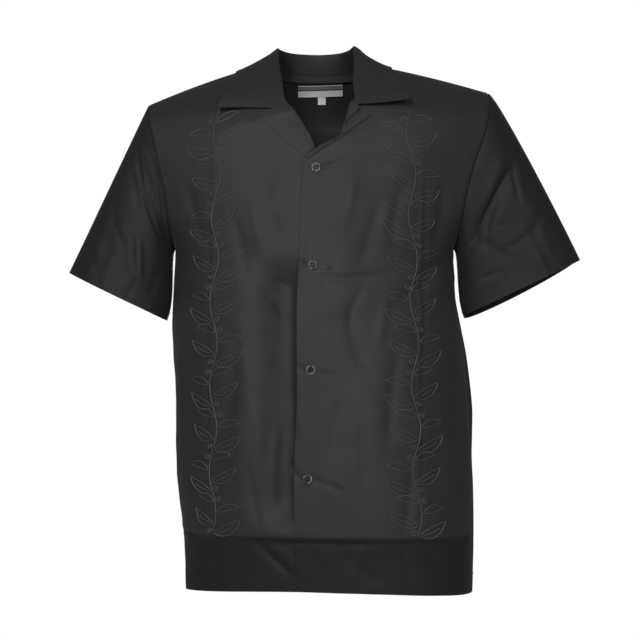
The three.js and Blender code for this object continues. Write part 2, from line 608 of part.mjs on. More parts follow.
// A lapel's surface: u runs from its top down to the break, v from the roll line outwards.
function lapelShape(side, u, v) {
  const read = (key) => readTable(LAPEL[side], "at", u, key);
  const x = lerp(read("rollX"), read("edgeX"), v);
  const notch = Math.min(v / NOTCH_AT, (1 - v) / (1 - NOTCH_AT));
  const z = lerp(read("rollZ"), read("edgeZ"), v) + NOTCH_RISE[side] * notch * (1 - u) ** 6;
  const found = onFront(side, side * x, z);
  const lift = LAPEL_LIFT[side] * Math.sin(Math.PI * v) * (1 - LAPEL_FLATTENS * u);
  return found.point.clone().addScaledVector(found.normal, LAPEL_REST + lift);
}

// A closed wall under a surface that faces outwards. Its edges are drawn in by half a seam
// gap, and closed is true for a tube, whose first and last columns meet.
function wall(name, material, surface, columns, rows, side, options = {}) {
  const { thick = CLOTH, closed = false, inset = [0, 0, 0, 0] } = options;
  const wide = closed ? columns : columns + 1;
  const count = wide * (rows + 1);
  const outer = [];
  const inner = [];
  for (let j = 0; j <= rows; j++)
    for (let i = 0; i < wide; i++) {
      const u = closed ? i / columns : lerp(inset[0], 1 - inset[1], i / columns);
      const v = lerp(inset[2], 1 - inset[3], j / rows);
      const p = surface(u, v);
      const n = closed ? tubeNormal(surface, u, v, side) : normalOf(surface, u, v, side);
      outer.push(p);
      inner.push(p.clone().addScaledVector(n, -thick));
    }
  const index = [];
  const quad = (a, b, c, d) => (side > 0 ? index.push(a, b, c, a, c, d) : index.push(a, c, b, a, d, c));
  const at = (i, j) => j * wide + (closed ? i % columns : i);
  for (let j = 0; j < rows; j++)
    for (let i = 0; i < columns; i++) {
      const [a, b, c, d] = [at(i, j), at(i + 1, j), at(i + 1, j + 1), at(i, j + 1)];
      quad(a, b, c, d);
      quad(a + count, d + count, c + count, b + count);
    }
  const rim = (a, b) => quad(b, a, a + count, b + count);
  for (let i = 0; i < columns; i++) {
    rim(at(i, 0), at(i + 1, 0));
    rim(at(i + 1, rows), at(i, rows));
  }
  for (let j = 0; j < rows && !closed; j++) {
    rim(at(columns, j), at(columns, j + 1));
    rim(at(0, j + 1), at(0, j));
  }
  const geometry = new THREE.BufferGeometry().setFromPoints([...outer, ...inner]);
  geometry.setIndex(index);
  geometry.computeVertexNormals();
  const mesh = new THREE.Mesh(geometry, material);
  mesh.name = name;
  return mesh;
}

// The normal of a tube's surface, whose u goes round.
function tubeNormal(surface, u, v, side) {
  const step = 1e-3;
  const round = surface((u + step) % 1, v).sub(surface((u + 1 - step) % 1, v));
  const along = surface(u, clamp(v + step, 0, 1)).sub(surface(u, clamp(v - step, 0, 1)));
  return round.cross(along).normalize().multiplyScalar(side);
}

// A geometry as a solid for cutting.
function toSolid(geometry) {
  geometry.deleteAttribute("uv").deleteAttribute("normal");
  const merged = mergeVertices(geometry, 1e-3);
  const corners = merged.index.array;
  const triVerts = [];
  for (let i = 0; i < corners.length; i += 3) {
    const [a, b, c] = corners.slice(i, i + 3);
    if (a !== b && b !== c && c !== a) triVerts.push(a, b, c);
  }
  const vertProperties = merged.getAttribute("position").array;
  const mesh = new cutter.Mesh({ numProp: 3, vertProperties, triVerts: new Uint32Array(triVerts) });
  return new cutter.Manifold(mesh);
}

// A turned four-hole button with a raised rim, which lies on the outer front at a height on
// the button line.
function button(name, material, z) {
  const edge = BUTTON_DIAMETER / 2;
  const profile = [
    [0, 0],
    [edge - BUTTON_ROUNDING, 0],
    [edge, BUTTON_ROUNDING],
    [edge, BUTTON_THICKNESS - BUTTON_ROUNDING],
    [edge - BUTTON_ROUNDING, BUTTON_THICKNESS],
    [BUTTON_FACE + BUTTON_SINK, BUTTON_THICKNESS],
    [BUTTON_FACE, BUTTON_THICKNESS - BUTTON_SINK],
    [0, BUTTON_THICKNESS - BUTTON_SINK],
  ].map(([radius, height]) => new THREE.Vector2(radius, height));
  let solid = toSolid(new THREE.LatheGeometry(profile, 20).rotateX(Math.PI / 2));
  for (const [sx, sy] of [[1, 1], [-1, 1], [-1, -1], [1, -1]]) {
    const hole = new THREE.CylinderGeometry(BUTTON_HOLE, BUTTON_HOLE, 4 * BUTTON_THICKNESS, 8);
    hole.rotateX(Math.PI / 2);
    hole.translate((sx * BUTTON_HOLE_SPACING) / 2, (sy * BUTTON_HOLE_SPACING) / 2, 0);
    solid = solid.subtract(toSolid(hole));
  }
  const cut = solid.getMesh();
  const geometry = new THREE.BufferGeometry();
  geometry.setAttribute("position", new THREE.BufferAttribute(cut.vertProperties, 3));
  geometry.setIndex([...cut.triVerts]);
  geometry.computeVertexNormals();
  const centre = hang(new THREE.Vector3(0, -body(z, "front") - OVERLAP_LIFT, z));
  const found = onFront(1, centre.x, z);
  const mesh = new THREE.Mesh(geometry, material);
  mesh.name = name;
  mesh.quaternion.setFromUnitVectors(new THREE.Vector3(0, 0, 1), found.normal);
  mesh.position.copy(found.point).addScaledVector(found.normal, BUTTON_REST);
  return mesh;
}

// A flat strip of label tape inside the yoke near the centre back.
function tape(name, material, size) {
  const find = (x, z) => settle(yokeShape, 1, ["x", "z"], [x, z], [0.5, 0.5]);
  const surface = (u, v) => {
    const x = size.middle + lerp(size.wide / 2, -size.wide / 2, u);
    const found = find(x, lerp(size.bottom, size.top, v));
    return found.point.addScaledVector(found.normal, -CLOTH - SEAM_GAP);
  };
  return wall(name, material, surface, 4, 1, 1, { thick: size.thick });
}

const material = (color, roughness) => new THREE.MeshStandardMaterial({ color, roughness });
const cloth = material(0x2e2e31, 0.9);
const facing = material(0x333336, 0.9);
const shell = material(0x77777a, 0.3);
const woven = material(0x9a9a9c, 0.6);

const shirt = new THREE.Group();
shirt.name = "shirt";
const seam = 0.0008; // half a seam gap as a share of a panel's width
shirt.add(
  wall("front_right", cloth, front(-1), 14, FRONT_ROWS, -1, { inset: [0, seam, 0, seam] }),
  wall("front_left", cloth, front(1), 14, FRONT_ROWS, 1, { inset: [0, seam, 0, seam] }),
  wall("back", cloth, back, 22, BACK_ROWS, -1, { inset: [seam, seam, 0, seam] }),
  wall("yoke", cloth, yokeShape, 22, 6, -1, { inset: [seam, seam, 0.004, 0.006] }),
  wall("sleeve_right", cloth, sleeve(-1), 20, 9, 1, { closed: true }),
  wall("sleeve_left", cloth, sleeve(1), 20, 9, -1, { closed: true }),
  wall("collar", cloth, collarShape, 28, 9, -1),
  wall("lapel_right", facing, (u, v) => lapelShape(-1, u, v), 8, 4, -1),
  wall("lapel_left", facing, (u, v) => lapelShape(1, u, v), 12, 2, 1),
  ...BUTTON_Z.map((z, i) => button(`button_${i + 1}`, shell, z)),
  tape("label", woven, LABEL),
  tape("size_tag", woven, TAG),
);

export default shirt;
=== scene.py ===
"""A short-sleeve shirt with an open camp collar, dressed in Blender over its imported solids.

Lengths in the tables and shape functions are millimetres in the shirt's own frame: +Z up,
the front faces -Y and the wearer's left is at +X. A mesh gets metres when it is made.
"""

import json
import math
from functools import partial

import bpy
import numpy as np
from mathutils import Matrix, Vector

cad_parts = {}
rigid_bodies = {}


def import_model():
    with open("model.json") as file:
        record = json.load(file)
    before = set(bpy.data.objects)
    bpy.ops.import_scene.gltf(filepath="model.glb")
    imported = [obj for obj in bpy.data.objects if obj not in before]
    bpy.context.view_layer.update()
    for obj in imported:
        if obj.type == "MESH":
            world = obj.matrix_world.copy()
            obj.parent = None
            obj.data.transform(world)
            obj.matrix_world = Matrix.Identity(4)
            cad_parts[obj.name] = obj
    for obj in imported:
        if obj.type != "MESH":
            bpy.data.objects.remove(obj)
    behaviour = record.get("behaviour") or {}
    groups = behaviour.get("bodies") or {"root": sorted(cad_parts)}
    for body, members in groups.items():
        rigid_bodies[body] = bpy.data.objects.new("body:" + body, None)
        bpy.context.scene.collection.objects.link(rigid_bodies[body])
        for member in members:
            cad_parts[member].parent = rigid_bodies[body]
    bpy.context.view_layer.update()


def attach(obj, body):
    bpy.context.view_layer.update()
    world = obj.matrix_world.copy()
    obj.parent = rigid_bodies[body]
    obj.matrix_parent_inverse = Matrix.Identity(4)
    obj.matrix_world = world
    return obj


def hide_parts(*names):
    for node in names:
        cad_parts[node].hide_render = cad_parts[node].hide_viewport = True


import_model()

bl_info = {
    "name": "Camp Collar Shirt",
    "version": (1, 0, 0),
    "blender": (4, 5, 0),
    "location": "View3D > Sidebar > Shirt",
    "description": "Builds the cloth, trim and stage of a short-sleeve shirt",
    "category": "Object",
}

MM = 0.001
RIGHT, LEFT = -1, 1  # the wearer's sides


def table(columns, *rows):
    """The named columns of a short table with one row for each section, point or fold."""
    return dict(zip(columns.split(), np.array(rows, dtype=float).T))


# The body, section by section, as in the solids
BODY = table(
    "z half front back centre turn",
    (-740, 205, 124, 119, 16, 11),
    (-672, 206, 138, 118, 15.5, 10.5),
    (-657, 207, 150, 117, 15, 10),
    (-575, 210, 151, 112, 10.5, 8.5),
    (-476, 208, 149, 107, 7.5, 6),
    (-376, 205, 145, 109, -0.7, 3),
    (-327, 200, 141, 112, -4, 1.5),
    (-262, 197, 135, 118, -3.5, 0.5),
    (-180, 195, 124, 124, -2, 0),
    (-142, 195, 118, 125, -1, 0),
    (-86, 195, 104, 121, 2, 0),
    (30, 195, 90, 100, 2, 0),
)
HEM_Z = -740
HEM_RISE = (5, -2, -7)
UNDERARM_Z = -262
YOKE_SEAM_Z = -86
EDGE_PAST_CENTRE = 19
OVERLAP_LIFT = 2.8
ROUNDNESS = 2.25
CHEST_FILL = 7

ARMHOLE = table(
    "z x",
    (-262, 197),
    (-240, 203),
    (-208, 208),
    (-187, 211),
    (-160, 217),
    (-137, 223),
    (-110, 231),
    (-80, 238),
    (-48, 241),
)
ARMHOLE_FRONT = 62
ARMHOLE_BACK = 70
SHOULDER_Z = {RIGHT: -57, LEFT: -40}
SHOULDER_ROUNDING = 1.25

NECK_POINT_AT = 0.47
NECK_BACK = [
    (-0.15, -37, 71, -6.5),
    (0, 0, 78, -7),
    (0.15, 37, 71, -6.5),
    (0.3, 65, 45, -4.5),
    (0.42, 78.5, 15, -2.5),
    (NECK_POINT_AT, 80, 2, -2),
    (0.58, 78.5, -24, -8),
    (0.7, 70, -52, -23),
]
NECK_SEAM = {
    RIGHT: table("at x y z", *NECK_BACK, (0.85, 52, -82, -50), (1, 31, -101, -75)),
    LEFT: table("at x y z", *NECK_BACK, (0.85, 54.5, -76, -46), (1, 43, -95, -66)),
}
ROLL_ENDS_AT = {RIGHT: 0.6, LEFT: 0.73}
FRONT_EDGE = {
    RIGHT: table(
        "at x y z",
        (0, -EDGE_PAST_CENTRE, -134.6, UNDERARM_Z),
        (0.2, -EDGE_PAST_CENTRE, -126, -195),
        (0.34, -15, -118.5, -150),
        (0.42, 2, -115, -126),
        (0.51, 16, -109, -100),
        (0.6, 31, -101, -75),
    ),
    LEFT: table(
        "at x y z",
        (0, -EDGE_PAST_CENTRE, -134.6, UNDERARM_Z),
        (0.2, -EDGE_PAST_CENTRE, -126, -195),
        (0.35, -EDGE_PAST_CENTRE + 2, -117.5, -142),
        (0.44, 4, -116, -124),
        (0.55, 32, -111, -108.5),
        (0.64, 38, -103.5, -86),
        (0.73, 43, -95, -66),
    ),
}

# Each sleeve's hem: its outer tip and inner end as (x, z), the depth of its mouth and how far
# it hangs lower behind, and how far its top keeps on outwards from the armhole
SLEEVES = {
    RIGHT: {"tip": (-351, -295), "inner": (-212, -362), "depth": 122, "back_hang": 3, "leave": 5},
    LEFT: {"tip": (373, -277), "inner": (207, -356), "depth": 84, "back_hang": 9, "leave": 45},
}
SLEEVE_FORWARD = -6
SLEEVE_LEAVES = (0.9, 0, -0.43)
SLEEVE_LEAVES_BELOW = 28  # how far its underside does

# The collar's fold line and the outer edge of its leaf, from the centre back to the end
FOLD_LINE = {
    RIGHT: table(
        "at x y z",
        (-0.15, -30, 62, 22.5),
        (0, 0, 70, 22),
        (0.15, 30, 62, 22.5),
        (0.3, 48.5, 42, 24.5),
        (0.42, 54, 18, 25),
        (0.55, 54.5, -12, 13),
        (0.7, 53, -46, -10),
        (0.85, 47, -80, -42),
        (1, 30, -104.5, -75),
    ),
    LEFT: table(
        "at x y z",
        (-0.15, -27, 62, 23),
        (0, 0, 70, 22),
        (0.15, 27, 62, 23),
        (0.3, 42, 42, 26),
        (0.42, 46.5, 18, 28),
        (0.55, 48, -12, 15),
        (0.7, 48, -46, -10),
        (0.85, 46.5, -79, -40),
        (1, 43, -101, -67),
    ),
}
LEAF_BACK = [(-0.15, -40, 105), (0, 0, 112), (0.15, 40, 105), (0.3, 76, 84), (0.42, 98, 48)]
LEAF_EDGE_ON_YOKE = {
    RIGHT: [*LEAF_BACK, (0.54, 112, 6)],
    LEFT: [*LEAF_BACK, (0.54, 101, 6)],
}
LEAF_EDGE_ON_FRONT = {
    RIGHT: [(0.8, 122, -36), (1, 135, -75.5)],
    LEFT: [(0.8, 111, -34), (1, 123.5, -68)],
}
COLLAR_CLEARANCE = 2.2  # of the leaf's edge over the cloth beneath
CORNER_LIFT = {RIGHT: 12, LEFT: 15}
END_SINK = 0.45
COLLAR_ROLL = 4.5  # how round the fold is

LAPEL = {
    RIGHT: table(
        "at roll_x roll_z edge_x edge_z",
        (0, 32, -77, 81, -79),
        (0.5, 16, -100, 51, -109),
        (1, 1, -121, 16, -137),
    ),
    LEFT: table(
        "at roll_x roll_z edge_x edge_z",
        (0, 54, -75, 75.7, -79.3),
        (0.22, 45.5, -83, 62, -89.3),
        (0.42, 37.5, -95.5, 48.5, -98.9),
        (0.6, 32, -107, 35, -110),
        (0.8, 8, -121.5, 10, -125.5),
        (1, -16, -137.5, -14, -142),
    ),
}
COLLAR_TAIL = table(
    "at roll_x roll_z edge_x edge_z",
    (0, 45, -60, 60, -70),
    (0.3, 43, -69, 54, -76),
    (0.55, 40.5, -79, 45, -84),
    (0.8, 36, -93, 38, -96),
    (1, 32, -106, 32.5, -108),
)
NOTCH_AT = 0.68
NOTCH_RISE = {RIGHT: 6.5, LEFT: 0}
GORGE_TUCK, GORGE_LIFT = 4.0, 1.4  # the seam under the collar's end, where the two are sewn

BUTTON_Z = (-153, -287, -430, -578)
BUTTON_LIFT = 0.9
BUTTON_THICKNESS = 2.4

ROWS_BELOW = 12
ARMHOLE_STEP = math.pi / 10
UNDERARM_AT = ROWS_BELOW / (ROWS_BELOW + 10)
BACK_UNDERARM_AT = ROWS_BELOW / (ROWS_BELOW + 7)
YOKE_ARMHOLE_ANGLE = 7 * ARMHOLE_STEP
YOKE_NECK_SHARE = 0.42

# Folds and creases as seen from the front or the back. A negative height is a trough, and
# bow bends the line sideways in its middle.
FOLD_COLUMNS = "x1 z1 x2 z2 width height bow"
FRONT_FOLDS = table(
    FOLD_COLUMNS,
    # the drapes that the solids have too
    (-75, -330, -42, -640, 17, -1, 0),
    (-104, -300, -96, -600, 22, 3, 0),
    (-20, -318, 95, -302, 10, -2.5, 0),
    (168, -292, 140, -318, 9, -4, 0),
    (-192, -316, -150, -338, 9, -4, 0),
    (60, -420, 96, -650, 30, 3, 0),
    (150, -380, 170, -620, 20, -3, 0),
    (-160, -590, -185, -650, 12, -4, 0),
    # pulls beside the buttons
    (-30, -283, 20, -292, 3, -1.9, 2),
    (-8, -297, 48, -302, 4, 1.7, -3),
    (-2, -580, 40, -597, 4, -2.2, 0),
    (2, -574, 34, -585, 3, 1.2, 0),
    (-34, -425, -8, -434, 3, -1.7, 0),
    (-2, -155, 44, -143, 4, -1.5, 0),
    # pressed crease across the chest
    (-26, -299, 60, -303, 2.2, -1.9, 0),
    (40, -304, 118, -297, 2.6, -1.7, 0),
    (-62, -306, -24, -316, 4, -2.4, 2),
    # drapes from the underarms
    (140, -303, 194, -279, 5, -3.6, -5),
    (152, -322, 196, -300, 6, 2.6, 0),
    (114, -334, 176, -308, 8, -2.8, -4),
    (-197, -318, -160, -344, 4.5, -3.4, 4),
    (-190, -338, -146, -376, 7, -2.6, 3),
    # pressed creases down the middle of each embroidered band
    (-143, -120, -145, -652, 1.8, 0.9, 0),
    (-149, -140, -151, -640, 4.5, -0.7, 0),
    (146, -130, 136, -650, 1.8, 0.9, 0),
    (152, -150, 143, -640, 4.5, -0.7, 0),
    # below the pressed crease near the hem
    (-84, -668, -36, -712, 5, -4.2, 0),
    (-66, -666, -20, -704, 6, 2.6, 0),
    (-186, -660, -120, -670, 5, -2.2, 0),
    (30, -674, 96, -722, 9, -2.6, 6),
    (150, -672, 176, -716, 10, -1.4, 0),
    (196, -646, 210, -664, 5, -2.6, 0),
    # slack in the cloth
    (-36, -445, -30, -545, 7, -2.6, 0),
    (-42, -556, -20, -582, 5, -2.6, 0),
    (-56, -500, -62, -620, 6, 1.8, 3),
    (40, -336, 72, -440, 11, -2.2, 6),
    (88, -196, 60, -290, 9, -2, 0),
    (-72, -150, -50, -262, 10, -2.2, 5),
    (-112, -370, -128, -520, 11, -2.4, -6),
    (114, -390, 98, -540, 9, -2.2, 4),
    (34, -462, 12, -560, 8, -1.9, 0),
    (184, -420, 190, -560, 12, -3.2, 0),
    (-182, -400, -176, -540, 12, -3, 0),
    (-82, -316, -44, -362, 6, -2, -4),
    (-96, -350, -84, -440, 8, -1.6, 3),
    (-88, -470, -80, -560, 7, 1.5, -3),
    (14, -330, 6, -400, 9, 1.8, 0),
    (66, -312, 44, -372, 6, -1.8, 4),
    (96, -324, 84, -400, 7, 1.6, 0),
    (-118, -210, -98, -300, 8, -1.9, -3),
    (-88, -196, -70, -284, 7, 1.5, 3),
    (52, -168, 34, -236, 7, 1.6, -2),
    (118, -176, 104, -262, 8, -1.8, 3),
    (-180, -170, -150, -262, 8, -2.2, 4),
    (176, -176, 160, -262, 8, -2.2, -4),
    (-30, -168, -56, -206, 6, -1.6, 0),
    (60, -500, 70, -600, 7, -1.9, 3),
    (18, -590, 42, -650, 6, 1.5, 0),
    (-96, -560, -80, -650, 7, -2, 0),
    (128, -560, 118, -654, 7, -1.9, -3),
    (-10, -672, 22, -716, 6, -1.8, 3),
    (66, -668, 52, -712, 6, 1.5, 0),
    (-150, -668, -136, -720, 6, -2, 0),
    (116, -670, 130, -722, 6, -1.8, 0),
)
# Pulls beside the buttons, on the buttoned front only
PULLS = table(
    FOLD_COLUMNS,
    (-32, -281, -8, -285, 2.2, -2, 0),
    (-30, -286.5, -10, -288, 1.8, 0.6, 0),
    (0, -288, 26, -292, 2.3, -2, 0),
    (-2, -282, 22, -283, 1.8, -0.7, 0),
    (-34, -423, -16, -428, 2.2, -1.5, 0),
    (-4, -432, 24, -437, 2.4, -1.4, 0),
    (-8, -578, 30, -590, 2.8, -1.8, 0),
    (-38, -571, -18, -576, 2, -1.2, 0),
    (-6, -156, 26, -147, 2.4, -1.3, 0),
)
# Creases right under the pressed line above the hem, on both fronts
HEM_CREASES = table(
    FOLD_COLUMNS,
    (-196, -659, -110, -664, 3, -2, 0),
    (-120, -665, 60, -669, 4, -3, 0),
    (40, -668, 200, -666, 3, -2.2, 0),
)
BACK_FOLDS = table(
    FOLD_COLUMNS,
    (-70, -230, -88, -700, 24, 5, 0),
    (66, -250, 92, -690, 26, 5, 0),
    (0, -330, 8, -700, 24, -5, 0),
    (-150, -290, -100, -430, 18, -4, 0),
    (150, -290, 104, -450, 18, -4, 0),
    (196, -380, 216, -535, 14, 5, 0),
    (-176, -300, -140, -360, 6, -2.4, 4),
    (-150, -340, -120, -420, 7, 1.6, 0),
    (178, -296, 138, -352, 6, -2.6, -4),
    (160, -336, 124, -400, 7, 1.7, 0),
    (-40, -140, -52, -330, 13, -1.5, 5),
    (44, -130, 36, -300, 12, -1.4, -4),
    (-110, -420, -132, -640, 12, -2, 6),
    (-30, -420, -46, -600, 10, 1.5, 0),
    (40, -440, 52, -640, 11, -1.7, 0),
    (120, -470, 140, -660, 12, -2, -6),
    (-120, -664, 130, -668, 3, -1.4, 3),
    (-60, -300, 70, -304, 2.6, -1, 0),
    (-10, -110, -4, -640, 1.8, 0.8, 0),
    (-160, -560, -176, -690, 9, -1.8, 0),
    (170, -560, 184, -700, 9, -1.8, 0),
)
SLEEVE_FOLDS = table(
    FOLD_COLUMNS,
    (-228, -112, -198, -250, 8, -5, 0),
    (-240, -150, -206, -262, 8, -3.6, 0),
    (-234, -120, -206, -245, 9, 2, 0),
    (-250, -245, -250, -318, 8, 3, 0),
    (276, -146, 212, -262, 10, -6, 0),
    (262, -130, 238, -205, 12, 3, 0),
    (222, -248, 272, -276, 8, -3, 0),
    (300, -180, 322, -290, 20, 3, 0),
    (-234, -86, -212, -148, 3, -1.6, 2),
    (-240, -116, -208, -232, 3.2, -2.2, -5),
    (-252, -124, -214, -254, 3.4, -2.4, 7),
    (-257, -244, -255, -292, 3, -2, 0),
    (-246, -252, -246, -308, 2.8, 1.6, 0),
    (-268, -254, -270, -306, 4, -1, 0),
    (-280, -190, -296, -270, 7, -1.2, 0),
    (-222, -290, -232, -330, 5, -1.6, 0),
    (-300, -252, -318, -296, 6, 1, 0),
    (274, -147, 227, -238, 3, -2.6, 4),
    (228, -236, 216, -258, 4, -2.2, 0),
    (275, -146, 282, -194, 3, -1.7, 0),
    (284, -150, 290, -204, 5, 1.1, 0),
    (247, -232, 285, -229, 3, -1.5, -3),
    (207, -272, 230, -254, 3.2, -1.8, 0),
    (228, -304, 257, -295, 3.4, -1.4, 0),
    (300, -214, 330, -286, 7, -1.3, 5),
    (262, -262, 292, -316, 8, -1.5, 0),
    (330, -226, 352, -276, 5, 0.9, 0),
    (-262, -150, -250, -214, 6, -1.8, -3),
    (-286, -214, -268, -262, 5, -1.6, 2),
    (-322, -250, -306, -300, 6, -1.5, 0),
    (-246, -296, -266, -334, 5, -1.7, 0),
    (-276, -262, -300, -330, 7, 1.5, 3),
    (256, -180, 236, -256, 5, -2.4, 3),
    (300, -238, 262, -262, 5, -1.9, -3),
    (318, -200, 300, -252, 7, -1.7, 0),
    (246, -268, 270, -322, 5, -1.8, 0),
    (306, -262, 328, -312, 6, 1.5, 0),
)
SLEEVE_BACK_FOLDS = table(
    FOLD_COLUMNS,
    (-262, -120, -214, -250, 12, -5, 0),
    (268, -120, 216, -250, 12, -5, 0),
    (-300, -200, -268, -320, 16, 3, 0),
    (306, -190, 288, -315, 16, 3, 0),
    (-246, -110, -216, -210, 4, -2, 4),
    (-278, -180, -232, -288, 5, -1.8, -4),
    (-262, -250, -276, -318, 5, 1.4, 0),
    (250, -112, 220, -214, 4, -2, -4),
    (284, -170, 240, -280, 5, -2, 5),
    (270, -250, 286, -322, 5, 1.3, 0),
    (332, -232, 322, -300, 6, -1.2, 0),
)
YOKE_FOLDS = table(
    FOLD_COLUMNS,
    (-190, -70, -120, -40, 8, -1.2, 3),
    (190, -64, 126, -40, 8, -1.2, -3),
)


def smoothstep(x, low, high):
    """0 below low, 1 above high, and 3 t squared less 2 t cubed between."""
    t = np.clip((np.asarray(x, dtype=float) - low) / (high - low), 0, 1)
    return t * t * (3 - 2 * t)


def lerp(a, b, t):
    """a at t = 0, b at t = 1."""
    return a + (b - a) * t


def xyz(x, y, z):
    """Points from coordinates of like shape."""
    return np.stack(np.broadcast_arrays(x, y, z), axis=-1).astype(float)


def unit(v):
    """Vectors of length one."""
    return v / np.maximum(np.linalg.norm(v, axis=-1, keepdims=True), 1e-9)


def read(rows, key, at, along="at"):
    """A column as a smooth curve: cubic Hermite spans whose inner slopes are the harmonic mean
    of the two beside them, or 0 where those differ in sign, so that it never overshoots."""
    x, y = rows[along], rows[key]
    at = np.asarray(at, dtype=float)
    slope = np.diff(y) / np.diff(x)
    product = slope[:-1] * slope[1:]
    mean = 2 * product / np.where(product > 0, slope[:-1] + slope[1:], 1)
    tangent = np.concatenate([slope[:1], np.where(product > 0, mean, 0), slope[-1:]])
    i = np.clip(np.searchsorted(x, at) - 1, 0, len(x) - 2)
    span = x[i + 1] - x[i]
    t = np.clip((at - x[i]) / span, 0, 1)
    t2, t3 = t * t, t * t * t
    return (
        (2 * t3 - 3 * t2 + 1) * y[i]
        + (t3 - 2 * t2 + t) * span * tangent[i]
        + (3 * t2 - 2 * t3) * y[i + 1]
        + (t3 - t2) * span * tangent[i + 1]
    )


def read_point(rows, at):
    """The point (x, y, z) of a table at a place along it."""
    return xyz(*(read(rows, key, at) for key in "xyz"))


def body(z, key):
    """A size of the body's section at a height."""
    return read(BODY, key, z, "z")


def hang(p):
    """Points of the upright body turned about Z by the section's turn and moved by its centre."""
    turn = -np.radians(body(p[..., 2], "turn"))
    c, s = np.cos(turn), np.sin(turn)
    x = body(p[..., 2], "centre") + c * p[..., 0] - s * p[..., 1]
    return xyz(x, s * p[..., 0] + c * p[..., 1], p[..., 2])


def on_side(side, p):
    """Points whose x counts away from the centre, put on the wearer's side."""
    return p * np.array([side, 1, 1])


def section_row(inner, outer, end_angle, u):
    """A row between two edges along the curve |x|^n + |y|^n = 1: the angle runs evenly from
    the inner edge's to end_angle, and x and y are scaled to meet both edges."""
    start = np.arcsin(np.clip(inner[..., 0] / outer[..., 0], -0.9, 0.9))
    angle = lerp(start, end_angle, u)

    def radius(a):
        """How far the curve is from its centre at an angle."""
        return (np.abs(np.cos(a)) ** ROUNDNESS + np.abs(np.sin(a)) ** ROUNDNESS) ** (-1 / ROUNDNESS)

    def across(a):
        """The curve's x at an angle."""
        return radius(a) * np.sin(a)

    def depth(a):
        """The curve's y at an angle."""
        return radius(a) * np.cos(a)

    share = (across(angle) - across(start)) / (across(end_angle) - across(start))
    drop = (depth(start) - depth(angle)) / (depth(start) - depth(end_angle))
    return share, lerp(inner[..., 0], outer[..., 0], share), lerp(inner[..., 1], outer[..., 1], drop)


def armhole(side, angle):
    """The armhole seam: z = middle - rise cos(angle), y = -depth sin(angle), and x from its table."""
    middle = (SHOULDER_Z[side] + UNDERARM_Z) / 2
    z = middle - (SHOULDER_Z[side] - middle) * np.cos(angle)
    depth = np.where(np.sin(angle) > 0, ARMHOLE_FRONT, ARMHOLE_BACK)
    return xyz(read(ARMHOLE, "x", z, "z"), -depth * np.sin(angle), z)


def shoulder_seam(side, share):
    """From the neck point straight to the armhole in plan, falling as share to a power."""
    neck = read_point(NECK_SEAM[side], NECK_POINT_AT)
    end = armhole(side, math.pi)
    share = np.asarray(share, dtype=float)
    x, y = (lerp(neck[k], end[k], share) for k in (0, 1))
    return xyz(x, y, lerp(neck[2], end[2], share**SHOULDER_ROUNDING))


def front_edge(side, at):
    """The front's inner edge above the underarm: its table, then the neck seam to the neck point."""
    roll_end = ROLL_ENDS_AT[side]
    on_neck = lerp(1, NECK_POINT_AT, (at - roll_end) / (1 - roll_end))
    edge = read_point(FRONT_EDGE[side], np.minimum(at, roll_end))
    neck = read_point(NECK_SEAM[side], np.clip(on_neck, NECK_POINT_AT, 1))
    return np.where((at < roll_end)[..., None], edge, neck)


def hem_rise(x, share):
    """The hem's lift a + b q + c q^2 with q = x / half, fading as (1 - share)^6 up the body."""
    a, b, c = HEM_RISE
    q = x / BODY["half"][0]
    return (a + b * q + c * q * q) * np.clip(1 - share, 0, 1) ** 6


# The angle in degrees at which a row of a front or of the back ends, at the underarm and from
# the share BY of the way up, and the power by which the back's rows come to the armhole's height
FRONT_END_ANGLE, FRONT_END_BY = (90, 48), 0.45
BACK_END_ANGLE, BACK_END_BY = (90, 52), 0.6
BACK_FALL = 1.4


def front_shape(side, u, v):
    """A front without its folds: below the underarm each row is a section of the body, and
    above it a row runs from the roll line or neck seam to the armhole, drawn to the shoulder
    seam at the top."""
    u, v = np.broadcast_arrays(np.asarray(u, float), np.asarray(v, float))
    z = lerp(HEM_Z, UNDERARM_Z, np.minimum(v / UNDERARM_AT, 1))
    half = body(z, "half")
    inner_y = -body(z, "front") * np.cos(np.arcsin(EDGE_PAST_CENTRE / half))
    inner, outer = xyz(-EDGE_PAST_CENTRE, inner_y, z), xyz(half, 0, z)
    _, x, y = section_row(inner, outer, math.pi / 2, u)
    low = xyz(x, y, z + hem_rise(x, v / UNDERARM_AT))

    at = np.clip((v - UNDERARM_AT) / (1 - UNDERARM_AT), 0, 1)
    inner, outer = front_edge(side, at), armhole(side, np.pi * at)
    end_angle = np.radians(lerp(*FRONT_END_ANGLE, smoothstep(at, 0, FRONT_END_BY)))
    share, x, y = section_row(inner, outer, end_angle, u)
    fall = np.clip(share, 0, 1) ** lerp(1, SHOULDER_ROUNDING, at)
    y = y - CHEST_FILL * np.sin(np.pi * np.clip(x / outer[..., 0], 0, 1)) ** 2 * np.sin(np.pi * at)
    high = xyz(x, y, lerp(inner[..., 2], outer[..., 2], fall))
    pull = smoothstep(at, 0.75, 1)[..., None] ** 2
    high = lerp(high, shoulder_seam(side, np.clip(share, 0, 1)), pull)

    p = np.where((v <= UNDERARM_AT)[..., None], low, high)
    if side == LEFT:
        near = (1 - smoothstep(p[..., 0], 25, 80)) * (1 - smoothstep(p[..., 2], -60, -20))
        p[..., 1] -= OVERLAP_LIFT * near
    return hang(on_side(side, p))


